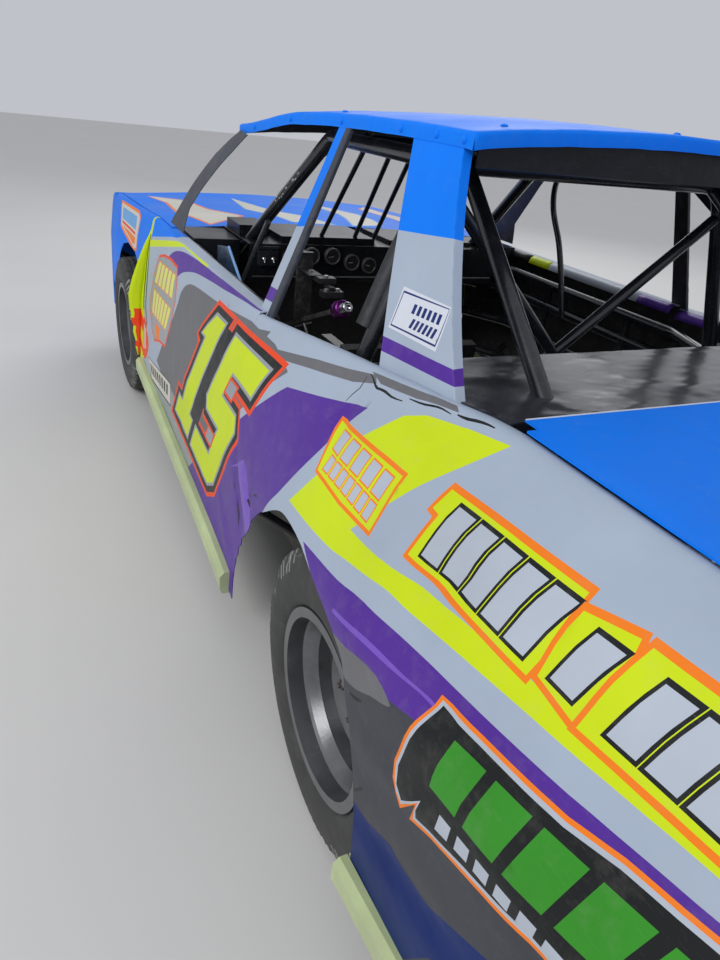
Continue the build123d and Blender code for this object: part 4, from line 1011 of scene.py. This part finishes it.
# Round gauges on the dash: y, z, radius
GAUGES = ((0.400, 0.893, 0.027), (0.311, 0.905, 0.030), (0.223, 0.906, 0.029), (0.137, 0.884, 0.029),
          (0.060, 0.873, 0.028))
DASH_X = 1.690
DASH_LOW, DASH_TOP, DASH_HALF = 0.800, 0.945, 0.560
COWL_END = 2.056


def dial_bar(gauge, degrees, front, back, half, low, top):
    """Thin bar before a dial, from low to top in shares of its radius, turned about its middle."""
    y, z, r = gauge
    return brick((DASH_X - front, y - half, z + r * low), (DASH_X - back, y + half, z + r * top),
                 Matrix.Rotation(math.radians(degrees), 3, "X"), (REAR_X + DASH_X, y, z))


def gauges():
    rings, dials, marks, needles = [], [], [], []
    for n, gauge in enumerate(GAUGES):
        y, z, r = gauge
        at = (REAR_X + DASH_X, y, z)
        ring = [(r - 0.004, 0.0155), (r - 0.003, 0.019), (r, 0.020), (r + 0.003, 0.018), (r + 0.0035, 0.0)]
        rings.append(turned(ring, at, (-1, 0, 0), 40))
        dials.append(turned([(0.0001, 0.0158), (r - 0.004, 0.0158)], at, (-1, 0, 0), 40))
        marks += [dial_bar(gauge, -135 + 27 * k, 0.0166, 0.0160, 0.0004, 0.66, 0.80) for k in range(11)]
        needles.append(dial_bar(gauge, -118 + 9 * n, 0.0172, 0.0167, 0.0006, -0.12, 0.60))
    group("gauge_rings", rings, "ring", "black_tin", True)
    group("gauge_dials", dials, "dial", "black_tin")
    group("gauge_marks", marks, "ring", "black_tin")
    group("gauge_needles", needles, "needle", "black_tin")


def dash():
    """Folded sheet dash: face, top and the light lip along its foot, with the switch box."""
    x, half = DASH_X, DASH_HALF
    plates = [brick((x, -half, DASH_LOW), (x + 0.0025, half, DASH_TOP)),
              brick((x, -half, DASH_TOP - 0.0025), (COWL_END, half, DASH_TOP)),
              brick((x, -half, DASH_LOW), (x + 0.022, half, DASH_LOW + 0.0025))]
    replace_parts(group("dash_skin", plates, "panel", "black_tin", edge=0.001), "dash")
    group("dash_lip", [brick((x - 0.004, -0.548, 0.821), (x, 0.548, 0.827))], "steel", "bare_steel",
          edge=0.001)
    boxes = [brick((x - 0.016, 0.448, 0.866), (x, 0.528, 0.922)),
             brick((x - 0.012, 0.445, 0.926), (x, 0.531, 0.938))]
    group("switch_box", boxes, "gloss_tin", "black_tin", edge=0.002)
    lever = [(0.0085, 0.0), (0.0085, 0.004), (0.004, 0.006), (0.0028, 0.008), (0.0036, 0.024), (0.0, 0.026)]
    levers = [turned(lever, (x + REAR_X - 0.016, y, 0.892), (-1, 0.1, -0.35), 12) for y in (0.470, 0.506)]
    group("toggle_switches", levers, "chrome", "bare_steel", True)


def hub():
    """Hub on the steering column's end, and the column's bracket with its bolts."""
    top, foot = Vector((1.220, 0.380, 0.820)), Vector((1.9597, 0.380, 0.530))
    along = (top - foot).normalized()
    at = top + along * 0.022 + Vector((REAR_X, 0, 0))
    collar = [(0.0, -0.026), (0.0305, -0.026), (0.0315, -0.022), (0.0315, -0.008), (0.026, -0.006),
              (0.026, 0.002),
              (0.0295, 0.004), (0.0295, 0.012), (0.024, 0.015), (0.019, 0.016)]
    neck = [(0.0185, 0.012), (0.0185, 0.030), (0.0162, 0.032), (0.0162, 0.038), (0.0185, 0.040),
            (0.0185, 0.052),
            (0.015, 0.056), (0.006, 0.056), (0.0055, 0.050), (0.0, 0.050)]
    group("hub_collar", [turned(collar, at, along, 40)], "anodised", "bare_steel", True)
    group("hub_end", [turned(neck, at, along, 24)], "chrome", "bare_steel", True)
    arms = [brick((1.285, 0.372, 0.868), (1.560, 0.392, 0.880)),
            brick((1.270, 0.344, 0.845), (1.318, 0.418, 0.868)),
            brick((1.330, 0.350, 0.880), (1.372, 0.414, 0.900)),
            brick((1.440, 0.356, 0.880), (1.560, 0.408, 0.886))]
    group("column_bracket", arms, "tin", "black_tin", edge=0.002)
    places = ((1.294, 0.360, 0.868), (1.294, 0.402, 0.868), (1.352, 0.382, 0.900), (1.50, 0.382, 0.886))
    bolts = [turned([(0.009, 0.0), (0.009, 0.006), (0.0, 0.0062)], (REAR_X + x, y, z), (0, 0, 1), 6)
             for x, y, z in places]
    group("bracket_bolts", bolts, "steel", "bare_steel")


def cowl():
    """Black sheet boxes between the dash, the doors and the hood."""
    parts = []
    for s in (1, -1):
        low, high = sorted((s * 0.565, s * 0.742))
        parts += [brick((1.800, low, 0.700), (1.803, high, 0.938)),
                  brick((1.800, low, 0.935), (COWL_END, high, 0.938)),
                  brick((1.800, s * 0.740 - 0.0015, 0.700), (COWL_END, s * 0.740 + 0.0015, 0.938))]
    parts += [brick((1.73, 0.02, 0.945), (2.03, 0.42, 0.968)), brick((1.86, 0.43, 0.945),
                                                                     (2.05, 0.55, 0.984)),
              brick((1.75, -0.46, 0.945), (2.03, -0.06, 0.962))]
    group("cowl_boxes", parts, "panel", "black_tin", edge=0.003)


def deflectors():
    """Smoked panel inside the left door's front, with a painted highlight: a light blue tube along its edge
    where the plastic catches the light.
    """
    corners = mm(1590, 955, 1440, 978, 1262, 882, 1590, 862)
    verts = [(x + REAR_X, y, z) for y in (0.706, 0.703) for x, z in corners]
    faces = [(0, 1, 2, 3), (7, 6, 5, 4)] + [(i, i + 4, (i + 1) % 4 + 4, (i + 1) % 4) for i in range(4)]
    piece("door_deflector", verts, faces, ("glaze",), "soft_plastic", False)
    # Painted highlight: light blue tube along the panel's slanted edge
    tube("deflector_edge_highlight", [(1.440, 0.706, 0.978), (1.351, 0.706, 0.930), (1.262, 0.706, 0.882)], 0.0045,
         "edge_highlight_blue")


def cage_extras():
    """Small struts, a pad and corner plates on the cage."""
    tube("leg_strut_left", [(1.489, 0.555, 1.055), (1.590, 0.570, 0.930), (1.693, 0.590, 0.782)], 0.0105,
         "strut")
    tube("leg_strut_right", [(1.205, -0.424, 1.336), (1.306, -0.500, 1.195), (1.250, -0.530, 1.040),
                             (1.180, -0.560, 0.790)], 0.011, "tube")
    tube("hoop_pad_left", [(0.566, 0.470, 1.270), (0.570, 0.532, 1.120), (0.568, 0.594, 0.960)], 0.031,
         "padding")
    plates = []
    for s in (1, -1):
        for corners in (((1.300, 0.415, 1.335), (1.190, 0.415, 1.340), (1.372, 0.430, 1.270)),
                        ((0.545, 0.420, 1.335), (0.650, 0.424, 1.338), (0.545, 0.462, 1.262))):
            verts = [(x + REAR_X, s * y + half, z) for half in (-0.003, 0.003) for x, y, z in corners]
            plates.append((verts, [(0, 1, 2), (5, 4, 3), (0, 3, 4, 1), (1, 4, 5, 2), (2, 5, 3, 0)]))
    group("cage_gussets", plates, "tube", "black_tube")


def shade_plate():
    """Deep black plate across the roof's rear edge over the hoop: painted shade, standing in for the shadow
    under the roof.
    """
    verts, faces = [], []
    count = 24
    for i in range(count + 1):
        y = -0.520 + 1.040 * i / count
        top = ROOF[0][2] + ROOF_CROWN * (1 - (y / 0.565) ** 2) - 0.008
        verts += [(x + REAR_X, y, z) for x in (0.315, 0.319) for z in (1.352, top)]
    for a in range(0, 4 * count, 4):
        b = a + 4
        faces += [(a, a + 1, b + 1, b), (a + 2, b + 2, b + 3, a + 3), (a, b, b + 2, a + 2),
                  (a + 1, a + 3, b + 3, b + 1)]
    faces += [(0, 2, 3, 1), (b, b + 1, b + 3, b + 2)]
    # Painted shade: near-black plate for the shadow under the roof's rear edge
    piece("roof_shade_plate", verts, faces, ("panel",), "black_tin", False)


def belt_trim():
    """Turned-down inner edge of the belt, in the livery's colours."""
    runs = ((2.02, 1.66, 0), (1.66, 1.52, 1), (1.52, 0.99, 2), (0.99, 0.83, 3), (0.81, 0.62, 3))
    steps = 6
    for s, hand in SIDES:
        parts = []
        for x0, x1, _ in runs:
            rows = []
            for i in range(steps + 1):
                x = x0 + (x1 - x0) * i / steps
                flange, drop = FLANGE["door" if x > DOOR_END else "quarter"]
                y, z = side_row(x)[0]
                rows.append([(x + REAR_X, s * (y - flange - inwards), z - drop - down)
                             for inwards, down in ((0, 0.001), (0.016, 0.010), (0.024, 0.030))])
            parts.append(lattice(rows, False, (0, 3, 2, 1) if s > 0 else (1, 2, 3, 0)))
        colours = ("black", "yellow", "white", "purple") if s < 0 else ("inner",) * 4
        which = [colour for _, _, colour in runs for _ in range(2 * steps)]
        thicken(piece(f"belt_edge_{hand}", *join(parts), colours, "painted_body", True, which), 0.002)


def door_flares():
    """Torn front edge of the doors, bent outwards ahead of the wheel opening."""
    outer = mm(806, 886, 822, 852, 846, 806, 874, 740, 900, 671, 915, 620, 921, 592, 919, 531, 913, 510,
               917, 488,
               906, 450, 909, 424, 899, 380, 901, 352, 893, 311)
    place = side_place(1, *FLANGE["door"])
    for s, hand in SIDES:
        rows = []
        for y, z in outer:
            inner = place(2.322, z).y - 0.0015
            reach = max(0.0015, (1 if s > 0 else 0.55) * (y - inner))
            rows.append([])
            for t in (0 / 3, 1 / 3, 2 / 3, 3 / 3):
                curl = 0.010 * t * t + 0.004 * wave(z * 14, t * 2, s)
                rows[-1].append((2.3235 + REAR_X + curl * 0.6, s * (inner + reach * t), z))
        verts, faces = lattice(rows, False, (0, 3, 2, 1) if s > 0 else (1, 2, 3, 0))
        which = [0 if z > 0.535 or k == 2 and i % 3 else 1
                 for i, (_, z) in enumerate(outer[:-1]) for k in range(3)]
        made = piece(f"door_flare_{hand}", verts, faces, ("yellow", "red"), "painted_body", True, which)
        thicken(made, 0.002)


def small_parts():
    """Lever beside the seat and the pale tape left on the cage's front leg."""
    tube("brake_lever", [(1.70, 0.250, 0.400), (1.735, 0.280, 0.560), (1.790, 0.296, 0.640)], 0.006, "steel")
    tube("lever_bar", [(1.772, 0.330, 0.598), (1.778, 0.290, 0.604), (1.786, 0.250, 0.610)], 0.005, "steel")
    top, foot = Vector((1.300, 0.420, 1.345)), Vector((1.985, 0.545, 0.815))
    along = (foot - top).normalized()
    out = Vector((-0.35, 0.9, 0.35))
    out = (out - along * out.dot(along)).normalized()
    other = along.cross(out)
    random.seed(5)
    parts = []
    for _ in range(16):
        at = top.lerp(foot, random.uniform(0.22, 0.46)) + Vector((REAR_X, 0, 0))
        turn, wide, long = random.uniform(-0.7, 0.9), random.uniform(0.10, 0.30), random.uniform(0.004, 0.016)
        angles = [turn + wide * (k / 3 - 0.5) for k in range(4)]
        rows = [[at + along * d + (out * math.cos(a) + other * math.sin(a)) * 0.0226 for a in angles]
                for d in (0.0, long)]
        parts.append(lattice(rows, False, (0, 3, 2, 1)))
    thicken(group("leg_tape", parts, "tape", "soft_plastic", True), 0.0006)


# Nodes shown as the part has them

def dress():
    chosen = {"tin": ("floor_pan", "firewall", "rear_bulkhead", "seat", "fuel_cell"),
              "tube": ("roll_cage", "door_bars_left", "door_bars_right", "rear_braces", "body_braces"),
              "frame_paint": ("frame_rails", "bumpers", "front_arms", "rear_axle", "steering_column"),
              "gloss_tin": ("package_tray",),
              "steel": ("knuckle_left", "knuckle_right", "steering_link", "exhaust", "driveline"),
              "cast": ("engine_block",), "aluminium": ("radiator",), "plastic": ("skirts",),
              "nose": ("nose",),
              "blue": ("deck_lid",), "grey": ("tail_panel",),
              "rim": [f"wheel_{axle}_{hand}" for axle in ("front", "rear") for _, hand in SIDES]}
    for key, names in chosen.items():
        for name in names:
            materials = bpy.data.objects[name].data.materials
            if not materials:
                materials.append(M[key])
            for i in range(len(materials)):
                materials[i] = M[key]


# Stage

def add_camera():
    heading, drop, roll = (math.radians(a) for a in (CAMERA_HEADING, CAMERA_DROP, CAMERA_ROLL))
    ahead = Vector((math.cos(heading) * math.cos(drop), -math.sin(heading) * math.cos(drop), -math.sin(drop)))
    right = Vector((-math.sin(heading), -math.cos(heading), 0.0))
    up = right.cross(ahead)
    right, up = math.cos(roll) * right + math.sin(roll) * up, math.cos(roll) * up - math.sin(roll) * right
    data = bpy.data.cameras.new("camera")
    data.sensor_fit = "VERTICAL"
    data.sensor_height = SENSOR
    data.lens = CAMERA_LENS
    data.clip_start = 0.02
    data.clip_end = 60
    camera = bpy.data.objects.new("camera", data)
    place = Vector(CAMERA_PLACE) + Vector((REAR_X, 0, 0))
    camera.matrix_world = Matrix.Translation(place) @ Matrix((right, up, -ahead)).transposed().to_4x4()
    bpy.context.collection.objects.link(camera)
    bpy.context.scene.camera = camera


def light(name, place, size, power):
    """Wide lamp that looks at the middle of the car."""
    data = bpy.data.lights.new(name, "AREA")
    data.energy = power
    data.shape = "RECTANGLE"
    data.size, data.size_y = size
    lamp = bpy.data.objects.new(name, data)
    lamp.location = place
    lamp.rotation_euler = (Vector((0, 0, 0.6)) - Vector(place)).to_track_quat("-Z", "Y").to_euler()
    bpy.context.collection.objects.link(lamp)


def stage():
    world = bpy.data.worlds.new("world")
    bpy.context.scene.world = world
    world.use_nodes = True
    sky = world.node_tree.nodes["Background"]
    sky.inputs[0].default_value = (0.9, 0.93, 1.0, 1)
    sky.inputs[1].default_value = 0.58
    bpy.ops.mesh.primitive_plane_add(size=60, location=(0, 0, 0))
    floor = bpy.context.object
    floor.name = "floor"
    floor.data.materials.append(finish("floor", (0.70, 0.69, 0.67), 0.9, shade=0.03, patch=1.0, bump=0.02))
    light("sun_side", (-3, 7, 6), (5, 4), 350)
    light("front_fill", (6, -4, 5), (5, 4), 130)


add_camera()
body_sides()
roof_sheet()
sails_and_posts()
rivets()
hood_sheet()
deck_sheet()
tray_sheet()
wheels()
springs()
dash()
gauges()
hub()
cowl()
deflectors()
cage_extras()
shade_plate()
belt_trim()
door_flares()
small_parts()
dress()
stage()
bpy.context.scene.view_settings.view_transform = "Standard"
